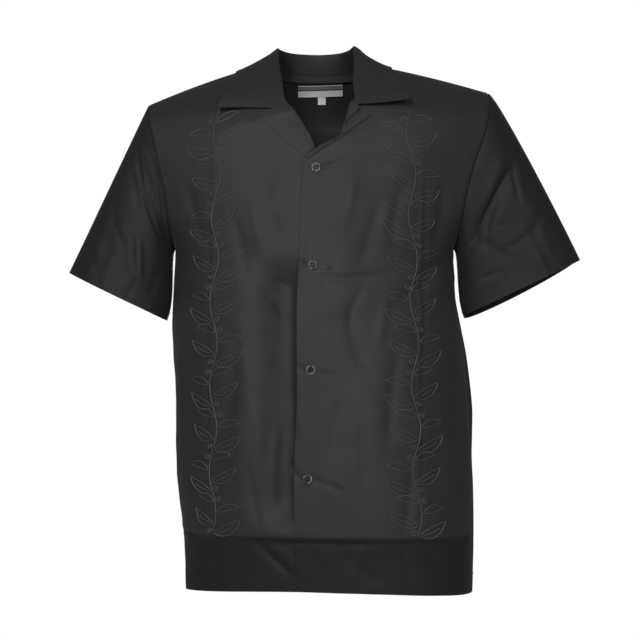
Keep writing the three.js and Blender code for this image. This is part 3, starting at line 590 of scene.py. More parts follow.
def back_shape(u, v):
    """The back without its folds, from the wearer's right to the left and from the hem to the
    yoke seam: each half row is a section from the centre back to the side or the armhole."""
    u, v = np.broadcast_arrays(np.asarray(u, float), np.asarray(v, float))
    share_in = np.abs(2 * u - 1)
    at = np.clip((v - BACK_UNDERARM_AT) / (1 - BACK_UNDERARM_AT), 0, 1)
    z = np.where(
        v <= BACK_UNDERARM_AT,
        lerp(HEM_Z, UNDERARM_Z, v / BACK_UNDERARM_AT),
        lerp(UNDERARM_Z, YOKE_SEAM_Z, at),
    )
    inner = xyz(0, body(z, "back"), z)
    end_angle = np.radians(lerp(*BACK_END_ANGLE, smoothstep(at, 0, BACK_END_BY)))
    halves = []
    for side in (RIGHT, LEFT):
        side_edge = xyz(body(z, "half"), 0, z)
        seam = armhole(side, 2 * np.pi - YOKE_ARMHOLE_ANGLE * at)
        outer = np.where((v <= BACK_UNDERARM_AT)[..., None], side_edge, seam)
        share, x, y = section_row(inner, outer, end_angle, share_in)
        height = lerp(z, outer[..., 2], np.clip(share, 0, 1) ** BACK_FALL)
        height = height + hem_rise(side * x, v / BACK_UNDERARM_AT)
        halves.append(xyz(side * x, y, height))
    return hang(np.where((u < 0.5)[..., None], halves[0], halves[1]))


def hermite(start, leave, end, arrive, t):
    """The cubic curve from start to end with the end slopes leave and arrive."""
    t = np.asarray(t, dtype=float)[..., None]
    t2, t3 = t * t, t * t * t
    return (
        (2 * t3 - 3 * t2 + 1) * start
        + (t3 - 2 * t2 + t) * leave
        + (3 * t2 - 2 * t3) * end
        + (t3 - t2) * arrive
    )


def yoke_top(side, share):
    """The yoke's upper edge: the neck seam as far as the neck point, then the shoulder seam."""
    on_neck = read_point(NECK_SEAM[side], NECK_POINT_AT * np.clip(share / YOKE_NECK_SHARE, 0, 1))
    on_shoulder = shoulder_seam(side, np.clip((share - YOKE_NECK_SHARE) / (1 - YOKE_NECK_SHARE), 0, 1))
    return np.where((share < YOKE_NECK_SHARE)[..., None], on_neck, on_shoulder)


def yoke_shape(u, v):
    """The yoke: cubic curves from the yoke seam up and over to the neck and shoulders, whose
    outermost ones are drawn to the armhole."""
    u, v = np.broadcast_arrays(np.asarray(u, float), np.asarray(v, float))
    share = np.abs(2 * u - 1)
    halves = []

    def column(side, s, low):
        """The curves from points on the yoke seam to the upper edge at a share s of it."""
        high = hang(on_side(side, yoke_top(side, s)))
        reach = np.linalg.norm(high - low, axis=-1, keepdims=True)
        neck = 1 - smoothstep(s, YOKE_NECK_SHARE * 0.6, YOKE_NECK_SHARE * 1.3)
        arrive = unit(xyz(0, -1, lerp(0.12, 1.1, neck))) * reach
        leave = np.concatenate([0 * reach, 0 * reach + 0.1, 0.9 * reach], axis=-1)
        return hermite(low, leave, high, arrive, v)

    for side in (RIGHT, LEFT):
        foot = back_shape(np.where(side * (u - 0.5) >= 0, u, 0.5 - side * 1e-9), 1.0)
        p = column(side, share, foot)
        edge = column(side, np.ones_like(share), back_shape(np.full_like(u, (side + 1) / 2), 1.0))
        seam = hang(on_side(side, armhole(side, lerp(2 * np.pi - YOKE_ARMHOLE_ANGLE, np.pi, v))))
        halves.append(p + (seam - edge) * (share**4)[..., None])
    return np.where((u < 0.5)[..., None], halves[0], halves[1])


def sleeve_shape(side, u, v):
    """A sleeve without its folds: cubic curves from the armhole seam, leaving it outwards, to
    an oval hem, arriving along the sleeve. u runs round from the underarm over the front."""
    u, v = np.broadcast_arrays(np.asarray(u, float), np.asarray(v, float))
    cut = SLEEVES[side]
    angle = 2 * np.pi * u
    out = np.array(SLEEVE_LEAVES) * np.array([side, 1, 1])
    root = hang(on_side(side, armhole(side, angle)))
    tip = np.array([cut["tip"][0], SLEEVE_FORWARD, cut["tip"][1]], dtype=float)
    inner = np.array([cut["inner"][0], SLEEVE_FORWARD, cut["inner"][1]], dtype=float)
    across = (tip - inner) / 2
    down = unit(np.array([across[2] * side, 0, -abs(across[0])]))
    hem = (tip + inner) / 2 - across * np.cos(angle)[..., None]
    hem[..., 1] -= cut["depth"] / 2 * np.sin(angle)
    hem += down * (cut["back_hang"] * np.maximum(0, -np.sin(angle - 0.35)))[..., None]
    reach = np.linalg.norm(hem - root, axis=-1, keepdims=True)
    leave = out * lerp(SLEEVE_LEAVES_BELOW, cut["leave"], (1 - np.cos(angle)) / 2)[..., None]
    return hermite(root, leave, hem, down * reach * 0.9, v)


def fold_height(folds, p):
    """How far folds lift the cloth: each is height exp(-(d / width)^2) across its line, and
    fades over both ends of it. bow shifts the line sideways by bow 4 t (1 - t)."""
    lift = np.zeros(p.shape[:-1])
    for x1, z1, x2, z2, width, height, bow in zip(*(folds[key] for key in FOLD_COLUMNS.split())):
        dx, dz = x2 - x1, z2 - z1
        length = math.hypot(dx, dz)
        along = ((p[..., 0] - x1) * dx + (p[..., 2] - z1) * dz) / length**2
        across = ((p[..., 0] - x1) * dz - (p[..., 2] - z1) * dx) / length
        middle = np.clip(along, 0, 1)
        across = across - bow * 4 * middle * (1 - middle)
        fade = smoothstep(along, -0.15, 0.3) * (1 - smoothstep(along, 0.7, 1.15))
        lift += height * fade * np.exp(-((across / width) ** 2))
    return lift


def normal_of(shape, u, v, outside, step=1e-3, around=False):
    """The outward unit normal, as the cross product of the steps along u and along v."""
    if around:
        du = shape((u + step) % 1, v) - shape((u - step) % 1, v)
    else:
        du = shape(np.clip(u + step, 0, 1), v) - shape(np.clip(u - step, 0, 1), v)
    dv = shape(u, np.clip(v + step, 0, 1)) - shape(u, np.clip(v - step, 0, 1))
    return unit(np.cross(du, dv)) * outside


SLACK_WAVES = 5


def slack(p, size, height, seed):
    """Gentle unevenness of hanging cloth: a sum of sine waves whose directions, lengths and
    phases come from a seeded draw."""
    draw = np.random.default_rng(seed)
    lift = np.zeros(p.shape[:-1])
    for _ in range(SLACK_WAVES):
        heading = draw.normal(size=3)
        heading = heading / np.linalg.norm(heading) * 2 * np.pi / (size * draw.uniform(0.7, 1.5))
        lift += np.sin(p @ heading + draw.uniform(0, 2 * np.pi))
    return lift * height / SLACK_WAVES


SEAM_DIP = 1.1
SEAM_SOFTNESS = 3.5
PRESSED_SEAM = 0.3  # a seam pressed flat dips less
GATHERED_SEAM = 2.4  # and the armhole's dips more

# About how far it is over the whole of u and of v on each panel, for the dips beside its seams
FRONT_SPAN = (330, 300)
BACK_SPAN = (300, 640)
YOKE_SPAN = (240, 100)
SLEEVE_SPAN = 260


def seam_dip(distance):
    """Cloth sinks towards a seam: -SEAM_DIP exp(-(distance / SEAM_SOFTNESS)^2)."""
    return -SEAM_DIP * np.exp(-((np.asarray(distance) / SEAM_SOFTNESS) ** 2))


# The hollow beside the placket: its middle, its width outwards and inwards, its depth, and the
# heights between which it fades in and out
SAG = {"x": -41, "outer": 32, "inner": 24, "depth": 21, "top": (-262, -325), "bottom": (-600, -655)}


def placket_sag(p):
    """The under front sinks beside the placket's edge: -depth exp(-((x - x0) / width)^2), with
    a width of its own on each side, fading in at the top and out at the bottom."""
    fade = smoothstep(-p[..., 2], -SAG["top"][0], -SAG["top"][1])
    fade = fade * (1 - smoothstep(-p[..., 2], -SAG["bottom"][0], -SAG["bottom"][1]))
    away = p[..., 0] - SAG["x"]
    width = np.where(away < 0, SAG["outer"], SAG["inner"])
    return -SAG["depth"] * fade * np.exp(-((away / width) ** 2))


# Where the folds fade out: towards the side seams and a panel's top, in shares of it, and
# towards the placket, in mm from the centre. The left front keeps a share of them nearer to it.
# On a sleeve they fade towards the lines of underarm and shoulder, by a sine, and the armhole.
FADE_AT_SIDE = (0.93, 1)
FRONT_FADE_AT_TOP = (0.8, 0.95)
FRONT_FADE_AT_PLACKET = (24, 50)
LEFT_FADE_AT_TOP = (0.7, 0.8)
LEFT_FADE_AT_PLACKET = (-1, 16)
LEFT_SHARE_AT_PLACKET = 0.7
BACK_FADE_AT_TOP = (0.8, 0.97)
SLEEVE_FADE_AT_TURN = (0.25, 0.7)
SLEEVE_FADE_AT_TOP = (0.03, 0.2)


def front_surface(side, u, v):
    """A front with its folds, slack cloth and the dips beside its seams."""
    u, v = np.broadcast_arrays(np.asarray(u, float), np.asarray(v, float))
    shape = partial(front_shape, side)
    p = shape(u, v)
    away = np.abs(p[..., 0] - body(p[..., 2], "centre"))
    keep = smoothstep(away, *FRONT_FADE_AT_PLACKET) * (1 - smoothstep(u, *FADE_AT_SIDE))
    keep = keep * (1 - smoothstep(v, *FRONT_FADE_AT_TOP))
    if side == LEFT:
        at_edge = LEFT_SHARE_AT_PLACKET * smoothstep(away, *LEFT_FADE_AT_PLACKET)
        keep = np.maximum(keep, at_edge * (1 - smoothstep(v, *LEFT_FADE_AT_TOP)))
    loose = slack(p, size=120, height=0.8, seed=3) + slack(p, size=42, height=0.55, seed=8)
    lift = fold_height(FRONT_FOLDS, p) * keep + loose * keep
    lift = lift + fold_height(HEM_CREASES, p) * (1 - smoothstep(u, 0.9, 1))
    lift = lift + (placket_sag(p) if side == RIGHT else fold_height(PULLS, p))
    lift = lift + seam_dip((1 - u) * FRONT_SPAN[0])
    lift = lift + seam_dip((1 - v) * FRONT_SPAN[1]) * smoothstep(u, 0.2, 0.35)
    return p + normal_of(shape, u, v, side) * lift[..., None]


def back_surface(u, v):
    """The back with its folds, slack cloth and the dips beside its seams."""
    u, v = np.broadcast_arrays(np.asarray(u, float), np.asarray(v, float))
    p = back_shape(u, v)
    share = np.abs(2 * u - 1)
    keep = (1 - smoothstep(share, *FADE_AT_SIDE)) * (1 - smoothstep(v, *BACK_FADE_AT_TOP))
    loose = slack(p, size=130, height=0.9, seed=5) + slack(p, size=44, height=0.5, seed=9)
    lift = fold_height(BACK_FOLDS, p) * keep + loose * keep
    lift = lift + seam_dip((1 - share) * BACK_SPAN[0])
    lift = lift + PRESSED_SEAM * seam_dip((1 - v) * BACK_SPAN[1])
    return p + normal_of(back_shape, u, v, -1) * lift[..., None]


def yoke_surface(u, v):
    """The yoke with its folds and the dips beside its seams."""
    u, v = np.broadcast_arrays(np.asarray(u, float), np.asarray(v, float))
    p = yoke_shape(u, v)
    share = np.abs(2 * u - 1)
    lift = fold_height(YOKE_FOLDS, p) * (1 - smoothstep(share, 0.85, 1)) * np.sin(np.pi * v)
    lift = lift + seam_dip((1 - share) * YOKE_SPAN[0]) + PRESSED_SEAM * seam_dip(v * YOKE_SPAN[1])
    lift = lift + seam_dip((1 - v) * YOKE_SPAN[1]) * smoothstep(share, 0.5, 0.6)
    return p + normal_of(yoke_shape, u, v, -1) * lift[..., None]


def sleeve_surface(side, u, v):
    """A sleeve with its folds, slack cloth and the dip beside the armhole seam."""
    u, v = np.broadcast_arrays(np.asarray(u, float), np.asarray(v, float))
    shape = partial(sleeve_shape, side)
    p = shape(u, v)
    keep = smoothstep(np.abs(np.sin(2 * np.pi * u)), *SLEEVE_FADE_AT_TURN)
    keep = keep * smoothstep(v, *SLEEVE_FADE_AT_TOP)
    folds = np.where(u < 0.5, fold_height(SLEEVE_FOLDS, p), fold_height(SLEEVE_BACK_FOLDS, p))
    broad, fine = slack(p, size=90, height=0.8, seed=11), slack(p, size=36, height=0.3, seed=12)
    lift = (folds + broad + fine) * keep + GATHERED_SEAM * seam_dip(v * SLEEVE_SPAN)
    return p + normal_of(shape, u, v, -side, around=True) * lift[..., None]


NEWTON_ROUNDS = 12


def settle(shape, columns, target, start, outside):
    """The points of a surface that have two given coordinates, by Newton's method on (u, v).
    Returns (points, outward normals)."""
    i, j = columns
    u = np.full(target.shape[:-1], float(start[0])) if np.isscalar(start[0]) else start[0].copy()
    v = np.full(target.shape[:-1], float(start[1])) if np.isscalar(start[1]) else start[1].copy()
    step = 1e-3
    for _ in range(NEWTON_ROUNDS):
        p = shape(u, v)
        u1, u0 = np.clip(u + step, 0, 1), np.clip(u - step, 0, 1)
        v1, v0 = np.clip(v + step, 0, 1), np.clip(v - step, 0, 1)
        pu = (shape(u1, v) - shape(u0, v)) / (u1 - u0)[..., None]
        pv = (shape(u, v1) - shape(u, v0)) / (v1 - v0)[..., None]
        e, f = target[..., 0] - p[..., i], target[..., 1] - p[..., j]
        a, b, c, d = pu[..., i], pv[..., i], pu[..., j], pv[..., j]
        det = a * d - b * c
        det = np.where(np.abs(det) < 1e-6, 1e-6, det)
        u = np.clip(u + (d * e - b * f) / det, 0, 1)
        v = np.clip(v + (a * f - c * e) / det, 0, 1)
    return shape(u, v), normal_of(shape, u, v, outside)


def on_front(side, x, z, shape=front_shape):
    """The place on a front at (x, z), seen from the front."""
    target = np.stack([x, z], -1)
    return settle(partial(shape, side), (0, 2), target, (0.4, 0.85), side)


SHOULDER_REACH = 240  # the x at which the line that parts yoke from front comes to y = 0


def on_shoulder(side, x, y):
    """The place on the yoke or a front at (x, y) as seen from above, x counting from the centre."""
    target = np.stack([side * x, y], -1)
    yoke = settle(yoke_shape, (0, 1), target, (0.5 + side * 0.2, 0.6), -1)
    front = settle(partial(front_shape, side), (0, 1), target, (0.3, 0.95), side)
    neck_y = read_point(NECK_SEAM[side], NECK_POINT_AT)[1]
    behind = (y > neck_y * (1 - x / SHOULDER_REACH))[..., None]
    return np.where(behind, yoke[0], front[0]), np.where(behind, yoke[1], front[1])


LEAF_SAMPLES = 24
LEAF_END = (0.72, 1)  # the shares of its length between which its end sinks and its corner lifts


def leaf_line(side, share, lift):
    """A line of the collar's leaf, at a share of the way from the fold line to the outer edge
    in plan, lifted off the cloth beneath along its normal."""
    on_yoke = np.array(LEAF_EDGE_ON_YOKE[side], dtype=float)
    ends = np.array(LEAF_EDGE_ON_FRONT[side], dtype=float)
    points = on_front(side, side * ends[:, 1], ends[:, 2])[0]
    edge = table("at x y", *on_yoke, *zip(ends[:, 0], ends[:, 1], points[:, 1]))
    at = np.linspace(0, 1, LEAF_SAMPLES + 1)
    x, y = (lerp(read(FOLD_LINE[side], key, at), read(edge, key, at), share) for key in "xy")
    p, normal = on_shoulder(side, x, y)
    near_end = smoothstep(at, *LEAF_END)
    lift = lift * (1 - END_SINK * near_end) + CORNER_LIFT[side] * share**3 * near_end
    p = on_side(side, p + normal * lift[:, None])
    return table("at x y z", *zip(at, *p.T))


def spline_weights(t):
    """The weights of five control points of a clamped cubic B-spline with one inner knot, by
    the Cox-de Boor recursion."""
    knots = (0, 0, 0, 0, 0.5, 1, 1, 1, 1)
    t = np.clip(t, 0, 1 - 1e-9)
    weights = [((knots[i] <= t) & (t < knots[i + 1])).astype(float) for i in range(8)]
    for degree in (1, 2, 3):
        for i in range(8 - degree):
            rise, fall = knots[i + degree] - knots[i], knots[i + degree + 1] - knots[i + 1]
            left = (t - knots[i]) / rise * weights[i] if rise else 0 * t
            right = (knots[i + degree + 1] - t) / fall * weights[i + 1] if fall else 0 * t
            weights[i] = left + right
    return weights[:5]


COLLAR_END = (0.6, 1)  # where along it the collar changes from its back to its end
ROLL_FLATTENS = 0.7
STAND_SKIPPED = 0.42  # the share of each column that the stand takes, which the end is without
SEAM_GAP = 0.2


def collar_surface(u, v, leaf):
    """The collar, from the neck seam up the stand, over the fold and down the leaf: a cubic
    B-spline in each column. leaf holds the lines that the leaf lies along."""
    u, v = np.broadcast_arrays(np.asarray(u, float), np.asarray(v, float))
    at = np.abs(2 * u - 1)
    halves = []
    for side in (RIGHT, LEFT):
        seam, fold = read_point(NECK_SEAM[side], at), read_point(FOLD_LINE[side], at)
        middle, edge = (read_point(line, at) for line in leaf[side])
        outwards = edge - fold
        outwards[..., 2] = 0
        outwards = unit(outwards)
        rise = np.array([0, 0, 1])
        near_end = smoothstep(at, *COLLAR_END)
        roll = (COLLAR_ROLL * (1 - ROLL_FLATTENS * near_end))[..., None]
        controls = [
            seam + unit(fold - seam) * SEAM_GAP,
            fold - outwards * roll + rise * 1.5,
            fold + outwards * roll * 1.6 + rise * roll * 1.5,
            middle,
            edge,
        ]
        weights = spline_weights(lerp(STAND_SKIPPED * near_end, 1, v))
        halves.append(hang(on_side(side, sum(w[..., None] * c for w, c in zip(weights, controls)))))
    return np.where((u < 0.5)[..., None], halves[0], halves[1])


LAPEL_TURN = 0.12  # the share of a lapel's width that turns round the front's edge
LAPEL_LIFT = 1.8
LAPEL_BELLY = 1.6
TURN_RADIUS = 1.1
TURN_OUT = 1.4
TURN_START = 0.6


def lapel_surface(side, u, v, rows=None, raised=0.0):
    """A lapel from its top down and from the roll line outwards, lying on the front. Its first
    part turns round the front's edge on a half circle. raised lays it over another."""
    rows = rows or LAPEL[side]
    u, v = np.broadcast_arrays(np.asarray(u, float), np.asarray(v, float))
    reach = np.clip((v - LAPEL_TURN) / (1 - LAPEL_TURN), 0, 1)
    roll_x, roll_z, edge_x, edge_z = (read(rows, key, u) for key in rows if key != "at")
    x, z = lerp(roll_x, edge_x, reach), lerp(roll_z, edge_z, reach)
    notch = np.minimum(reach / NOTCH_AT, (1 - reach) / (1 - NOTCH_AT))
    z = z + NOTCH_RISE[side] * notch * (1 - u) ** 6
    gorge = 0.0
    if side == RIGHT:
        gorge = (1 - smoothstep(u, 0.02, 0.24)) * (1 - smoothstep(reach, 0.35, 0.66))
    z = z + GORGE_TUCK * gorge
    p, normal = on_front(side, side * x, z)
    belly = LAPEL_BELLY * np.sin(np.pi * reach) * (1 - 0.6 * u)
    lift = LAPEL_LIFT + raised + belly + GORGE_LIFT * gorge
    lying = p + normal * lift[..., None]
    outwards = unit(xyz(side * (edge_x - roll_x), 0, edge_z - roll_z))
    angle = np.pi * np.clip(v / LAPEL_TURN, 0, 1)
    up = TURN_RADIUS - TURN_RADIUS * np.cos(angle) - TURN_START
    turned = p + normal * up[..., None] - outwards * (TURN_OUT * np.sin(angle))[..., None]
    turned = turned + normal * (TURN_START * v / LAPEL_TURN)[..., None]
    return np.where((v >= LAPEL_TURN)[..., None], lying, turned)


def grid(columns, rows, crowd=0.0):
    """The parameters u and v of a grid. Its columns crowd towards both ends, as
    t - crowd sin(2 pi t) / 2 pi, and its rows are even."""
    t = np.linspace(0, 1, columns + 1)
    u = t - crowd * np.sin(2 * np.pi * t) / (2 * np.pi)
    return np.meshgrid(u, np.linspace(0, 1, rows + 1))


def grid_quads(index, turned=False):
    """A quad for each cell of a grid of point numbers, or the same quads turned over."""
    corners = [index[..., :-1, :-1], index[..., :-1, 1:], index[..., 1:, 1:], index[..., 1:, :-1]]
    quads = np.stack(corners, axis=-1).reshape(-1, 4)
    return quads[:, [0, 3, 2, 1]] if turned else quads


def grid_uv(across, along, turned=False):
    """The UVs of those quads' corners, from the places of the columns and of the rows."""
    flat = np.stack(np.meshgrid(across, along), axis=-1)
    index = np.arange(flat[..., 0].size).reshape(flat.shape[:2])
    return flat.reshape(-1, 2)[grid_quads(index, turned)]


def distance_along(points):
    """How far along a line each of its points is."""
    return np.concatenate([[0], np.cumsum(np.linalg.norm(np.diff(points, axis=0), axis=1))])


def new_mesh(name, points, faces, corner_uv=None):
    """A mesh from points in millimetres, an array of quads and a UV for each corner."""
    mesh = bpy.data.meshes.new(name)
    mesh.vertices.add(len(points))
    mesh.vertices.foreach_set("co", (points * MM).ravel())
    mesh.loops.add(faces.size)
    mesh.loops.foreach_set("vertex_index", faces.ravel().astype(np.int32))
    mesh.polygons.add(len(faces))
    mesh.polygons.foreach_set("loop_start", np.arange(0, faces.size, 4, dtype=np.int32))
    if corner_uv is not None:
        mesh.uv_layers.new(name="cloth").data.foreach_set("uv", (corner_uv * MM).ravel())
    mesh.update(calc_edges=True)
    return mesh


CRISP_ANGLE = 50


def new_piece(name, mesh, material, nodes=()):
    """An object of the shirt that rides on its body and stands for the solids named."""
    piece = bpy.data.objects.new(name, mesh)
    bpy.context.scene.collection.objects.link(piece)
    mesh.materials.append(material)
    mesh.shade_smooth()
    mesh.set_sharp_from_angle(angle=math.radians(CRISP_ANGLE))
    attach(piece, "root")
    if nodes:
        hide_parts(*nodes)
    return piece


def cloth_wall(name, points, size, thickness, outside, closed=False):
    """A closed wall: the outer grid of points, the same grid moved inwards along its normals by
    the thickness, and rims between them. size is (width, length) for the UV map, and closed
    joins the last column to the first."""
    rows, columns = points.shape[:2]
    if closed:
        du = np.roll(points, -1, axis=1) - np.roll(points, 1, axis=1)
    else:
        du = np.gradient(points, axis=1)
    normal = unit(np.cross(du, np.gradient(points, axis=0))) * outside
    inner = points - normal * thickness
    index = np.arange(rows * columns).reshape(rows, columns)
    if closed:
        index = np.concatenate([index, index[:, :1]], axis=1)
    far = rows * columns
    outer_faces = grid_quads(index)
    low, high = index[0], index[-1]
    rims = [
        np.stack([low[1:], low[:-1], low[:-1] + far, low[1:] + far], axis=-1),
        np.stack([high[:-1], high[1:], high[1:] + far, high[:-1] + far], axis=-1),
    ]
    if not closed:
        first, last = index[:, 0], index[:, -1]
        rims.append(np.stack([first[:-1], first[1:], first[1:] + far, first[:-1] + far], axis=-1))
        rims.append(np.stack([last[1:], last[:-1], last[:-1] + far, last[1:] + far], axis=-1))
    faces = np.concatenate([outer_faces, outer_faces[:, ::-1] + far, *rims])

    outer_uv = grid_uv(np.linspace(0, size[0], index.shape[1]), np.linspace(0, size[1], rows))
    rim_uv = np.zeros((sum(len(rim) for rim in rims), 4, 2))
    uv = np.concatenate([outer_uv, outer_uv[:, ::-1], rim_uv])
    if outside < 0:
        faces, uv = faces[:, ::-1], uv[:, ::-1]
    both = np.concatenate([points.reshape(-1, 3), inner.reshape(-1, 3)])
    return new_mesh(name, both, faces, uv)


CORD_TIP = 0.02


def cord_parts(path, normal, half_width, height, sides=8, sink=0.25):
    """A cord along a path on the cloth: each ring is (half_width cos a) across and
    (height sin a) out, sunk a little into the cloth, and both ends close to a point.
    Returns (points, quads, corner UVs)."""
    along = unit(np.gradient(path, axis=0))
    across = unit(np.cross(along, normal))
    angle = np.linspace(0, 2 * np.pi, sides, endpoint=False)
    ends = np.ones(len(path))
    ends[[0, -1]] = CORD_TIP
    ring = (
        across[:, None] * (half_width * np.cos(angle))[None, :, None] * ends[:, None, None]
        + normal[:, None] * (height * np.sin(angle))[None, :, None] * ends[:, None, None]
    )
    points = (path[:, None] + normal[:, None] * height * sink + ring).reshape(-1, 3)
    index = np.arange(len(path) * sides).reshape(len(path), sides)
    index = np.concatenate([index, index[:, :1]], axis=1)
    round_cord = np.linspace(0, 2 * np.pi * half_width, sides + 1)
    uv = grid_uv(round_cord, distance_along(path), turned=True)
    return points, grid_quads(index, turned=True), uv


def joined(name, parts):
    """One mesh from several (points, quads, corner UVs)."""
    starts = np.cumsum([0] + [len(p) for p, _, _ in parts[:-1]])
    points = np.concatenate([p for p, _, _ in parts])
    quads = np.concatenate([q + start for (_, q, _), start in zip(parts, starts)])
    return new_mesh(name, points, quads, np.concatenate([uv for _, _, uv in parts]))


STITCH_SWELL = np.array([0.25, 0.85, 1, 0.85, 0.25])
STITCH_SIDES = 6
STITCH_RISE, STITCH_SINK = 0.9, 0.35


def stitch_parts(path, normal, pitch, stitch, thread):
    """Sewing stitches along a path: every pitch a short thread of the given length, whose
    centre line rises and dips as sin(pi t)."""
    length = distance_along(path)
    starts = np.arange(pitch / 2, length[-1] - stitch, pitch)
    rings = len(STITCH_SWELL)
    t = np.linspace(0, 1, rings)
    place = starts[:, None] + stitch * t
    centre = np.stack([np.interp(place, length, path[:, k]) for k in range(3)], axis=-1)
    out = unit(np.stack([np.interp(place, length, normal[:, k]) for k in range(3)], axis=-1))
    rise = thread * (STITCH_RISE * np.sin(np.pi * t) - STITCH_SINK)
    centre = centre + out * rise[None, :, None]
    along = unit(np.gradient(centre, axis=1))
    across = np.cross(along, out)
    angle = np.linspace(0, 2 * np.pi, STITCH_SIDES, endpoint=False)
    swell = STITCH_SWELL * thread / 2
    ring = (
        across[:, :, None] * np.cos(angle)[None, None, :, None]
        + out[:, :, None] * np.sin(angle)[None, None, :, None]
    ) * swell[None, :, None, None]
    points = centre[:, :, None] + ring
    shape = (len(starts), rings, STITCH_SIDES)
    index = np.arange(math.prod(shape)).reshape(shape)
    index = np.concatenate([index, index[:, :, :1]], axis=2)
    quads = grid_quads(index, turned=True)
    caps = np.concatenate([index[:, 0, [0, 1, 2, 3]], index[:, 0, [0, 3, 4, 5]]])
    tails = np.concatenate([index[:, -1, [3, 2, 1, 0]], index[:, -1, [5, 4, 3, 0]]])
    quads = np.concatenate([quads, caps, tails])
    return points.reshape(-1, 3), quads, np.zeros((len(quads), 4, 2))


# Materials


def sockets(group, inputs, outputs):
    """Named float or vector inputs and outputs of a node group, and its two end nodes."""
    for names, direction in ((inputs, "INPUT"), (outputs, "OUTPUT")):
        for name, kind, default in names:
            socket = group.interface.new_socket(name=name, in_out=direction, socket_type=kind)
            if default is not None:
                socket.default_value = default
    return group.nodes.new("NodeGroupInput"), group.nodes.new("NodeGroupOutput")


def add_math(tree, operation, first, second=None):
    """A Math node, whose operands are sockets or numbers. Returns its output."""
    node = tree.nodes.new("ShaderNodeMath")
    node.operation = operation
    for socket, value in zip(node.inputs, (first, second)):
        if isinstance(value, bpy.types.NodeSocket):
            tree.links.new(value, socket)
        elif value is not None:
            socket.default_value = value
    return node.outputs[0]


def add_scaled(tree, value, factor, offset):
    """value times factor plus offset, by two Math nodes."""
    return add_math(tree, "ADD", add_math(tree, "MULTIPLY", value, factor), offset)


def add_waves(tree, value, pitch):
    """The sine of a length in metres, with one wave for each pitch."""
    return add_math(tree, "SINE", add_math(tree, "MULTIPLY", value, 2 * math.pi / pitch))


def add_uv(tree):
    """The UV map of a piece, which is in metres along its cloth, and its X, Y and Z."""
    node = tree.nodes.new("ShaderNodeUVMap")
    node.uv_map = "cloth"
    return node.outputs["UV"], add_split(tree, node.outputs["UV"])


def add_split(tree, vector):
    """The X, Y and Z of a vector, by a Separate XYZ node."""
    node = tree.nodes.new("ShaderNodeSeparateXYZ")
    tree.links.new(vector, node.inputs[0])
    return node.outputs


def add_noise(tree, vector, scale, detail=3.0, roughness=0.5, stretch=None):
    """A Noise Texture read at a vector, stretched by a Mapping node where stretch is given."""
    if stretch:
        mapping = tree.nodes.new("ShaderNodeMapping")
        mapping.inputs["Scale"].default_value = stretch
        tree.links.new(vector, mapping.inputs["Vector"])
        vector = mapping.outputs["Vector"]
    node = tree.nodes.new("ShaderNodeTexNoise")
    node.inputs["Scale"].default_value = scale
    node.inputs["Detail"].default_value = detail
    node.inputs["Roughness"].default_value = roughness
    tree.links.new(vector, node.inputs["Vector"])
    return node.outputs["Fac"]


WEAVE_NAME = "plain weave"


def weave_group():
    """Plain weave on a UV map in metres: slub is two noises stretched along the threads, the patches a
    broad noise whose paler parts stand for rubbed cloth and are also painted sheen, and the height adds
    sin(x) sin(y) at the thread count to the slub."""
    if WEAVE_NAME in bpy.data.node_groups:
        return bpy.data.node_groups[WEAVE_NAME]
    group = bpy.data.node_groups.new(WEAVE_NAME, "ShaderNodeTree")
    start, end = sockets(
        group,
        [("Vector", "NodeSocketVector", None), ("Threads", "NodeSocketFloat", 7000.0)],
        [(name, "NodeSocketFloat", None) for name in ("Height", "Slub", "Wear")],
    )
    vector, threads = start.outputs["Vector"], start.outputs["Threads"]
    split = add_split(group, vector)
    waves = [add_math(group, "SINE", add_math(group, "MULTIPLY", split[axis], threads)) for axis in "XY"]
    warp = add_noise(group, vector, 420.0, stretch=(6, 0.35, 1))
    weft = add_noise(group, vector, 420.0, stretch=(0.35, 6, 1))
    slub = add_math(group, "MULTIPLY", add_math(group, "ADD", warp, weft), 0.5)
    # A broad noise for paler patches: rubbed cloth and painted sheen.
    wear_and_sheen_noise = add_noise(group, vector, 14.0, detail=5.0, roughness=0.6)
    height = add_scaled(group, add_math(group, "MULTIPLY", *waves), 0.18, slub)
    for name, value in (("Height", height), ("Slub", slub), ("Wear", wear_and_sheen_noise)):
        group.links.new(value, end.inputs[name])
    return group


def principled(name, roughness, specular=0.5):
    """A node material with its Principled BSDF. Returns (material, tree, shader)."""
    material = bpy.data.materials.new(name)
    material.use_nodes = True
    tree = material.node_tree
    shader = tree.nodes["Principled BSDF"]
    shader.inputs["Roughness"].default_value = roughness
    shader.inputs["Specular IOR Level"].default_value = specular
    return material, tree, shader


def mix_colour(tree, factor, first, second):
    """A Mix node between two colours, or sockets. Returns its output."""
    node = tree.nodes.new("ShaderNodeMix")
    node.data_type = "RGBA"
    tree.links.new(factor, node.inputs["Factor"])
    for key, value in (("A", first), ("B", second)):
        socket = [s for s in node.inputs if s.name == key and s.type == "RGBA"][0]
        if isinstance(value, bpy.types.NodeSocket):
            tree.links.new(value, socket)
        else:
            socket.default_value = (*value, 1)
    return [s for s in node.outputs if s.type == "RGBA"][0]


def ramp(tree, value, low, high):
    """0 below low and 1 above high, smoothly, by a Map Range node."""
    node = tree.nodes.new("ShaderNodeMapRange")
    node.interpolation_type = "SMOOTHSTEP"
    tree.links.new(value, node.inputs["Value"])
    node.inputs["From Min"].default_value = low
    node.inputs["From Max"].default_value = high
    return node.outputs["Result"]


def bump(tree, shader, height, distance, strength):
    """A Bump node from a height to the shader's normal."""
    node = tree.nodes.new("ShaderNodeBump")
    node.inputs["Distance"].default_value = distance
    node.inputs["Strength"].default_value = strength
    tree.links.new(height, node.inputs["Height"])
    tree.links.new(node.outputs["Normal"], shader.inputs["Normal"])


def shade(colour, factor):
    """A colour made darker or paler, no paler than white."""
    return [min(1, channel * factor) for channel in colour]
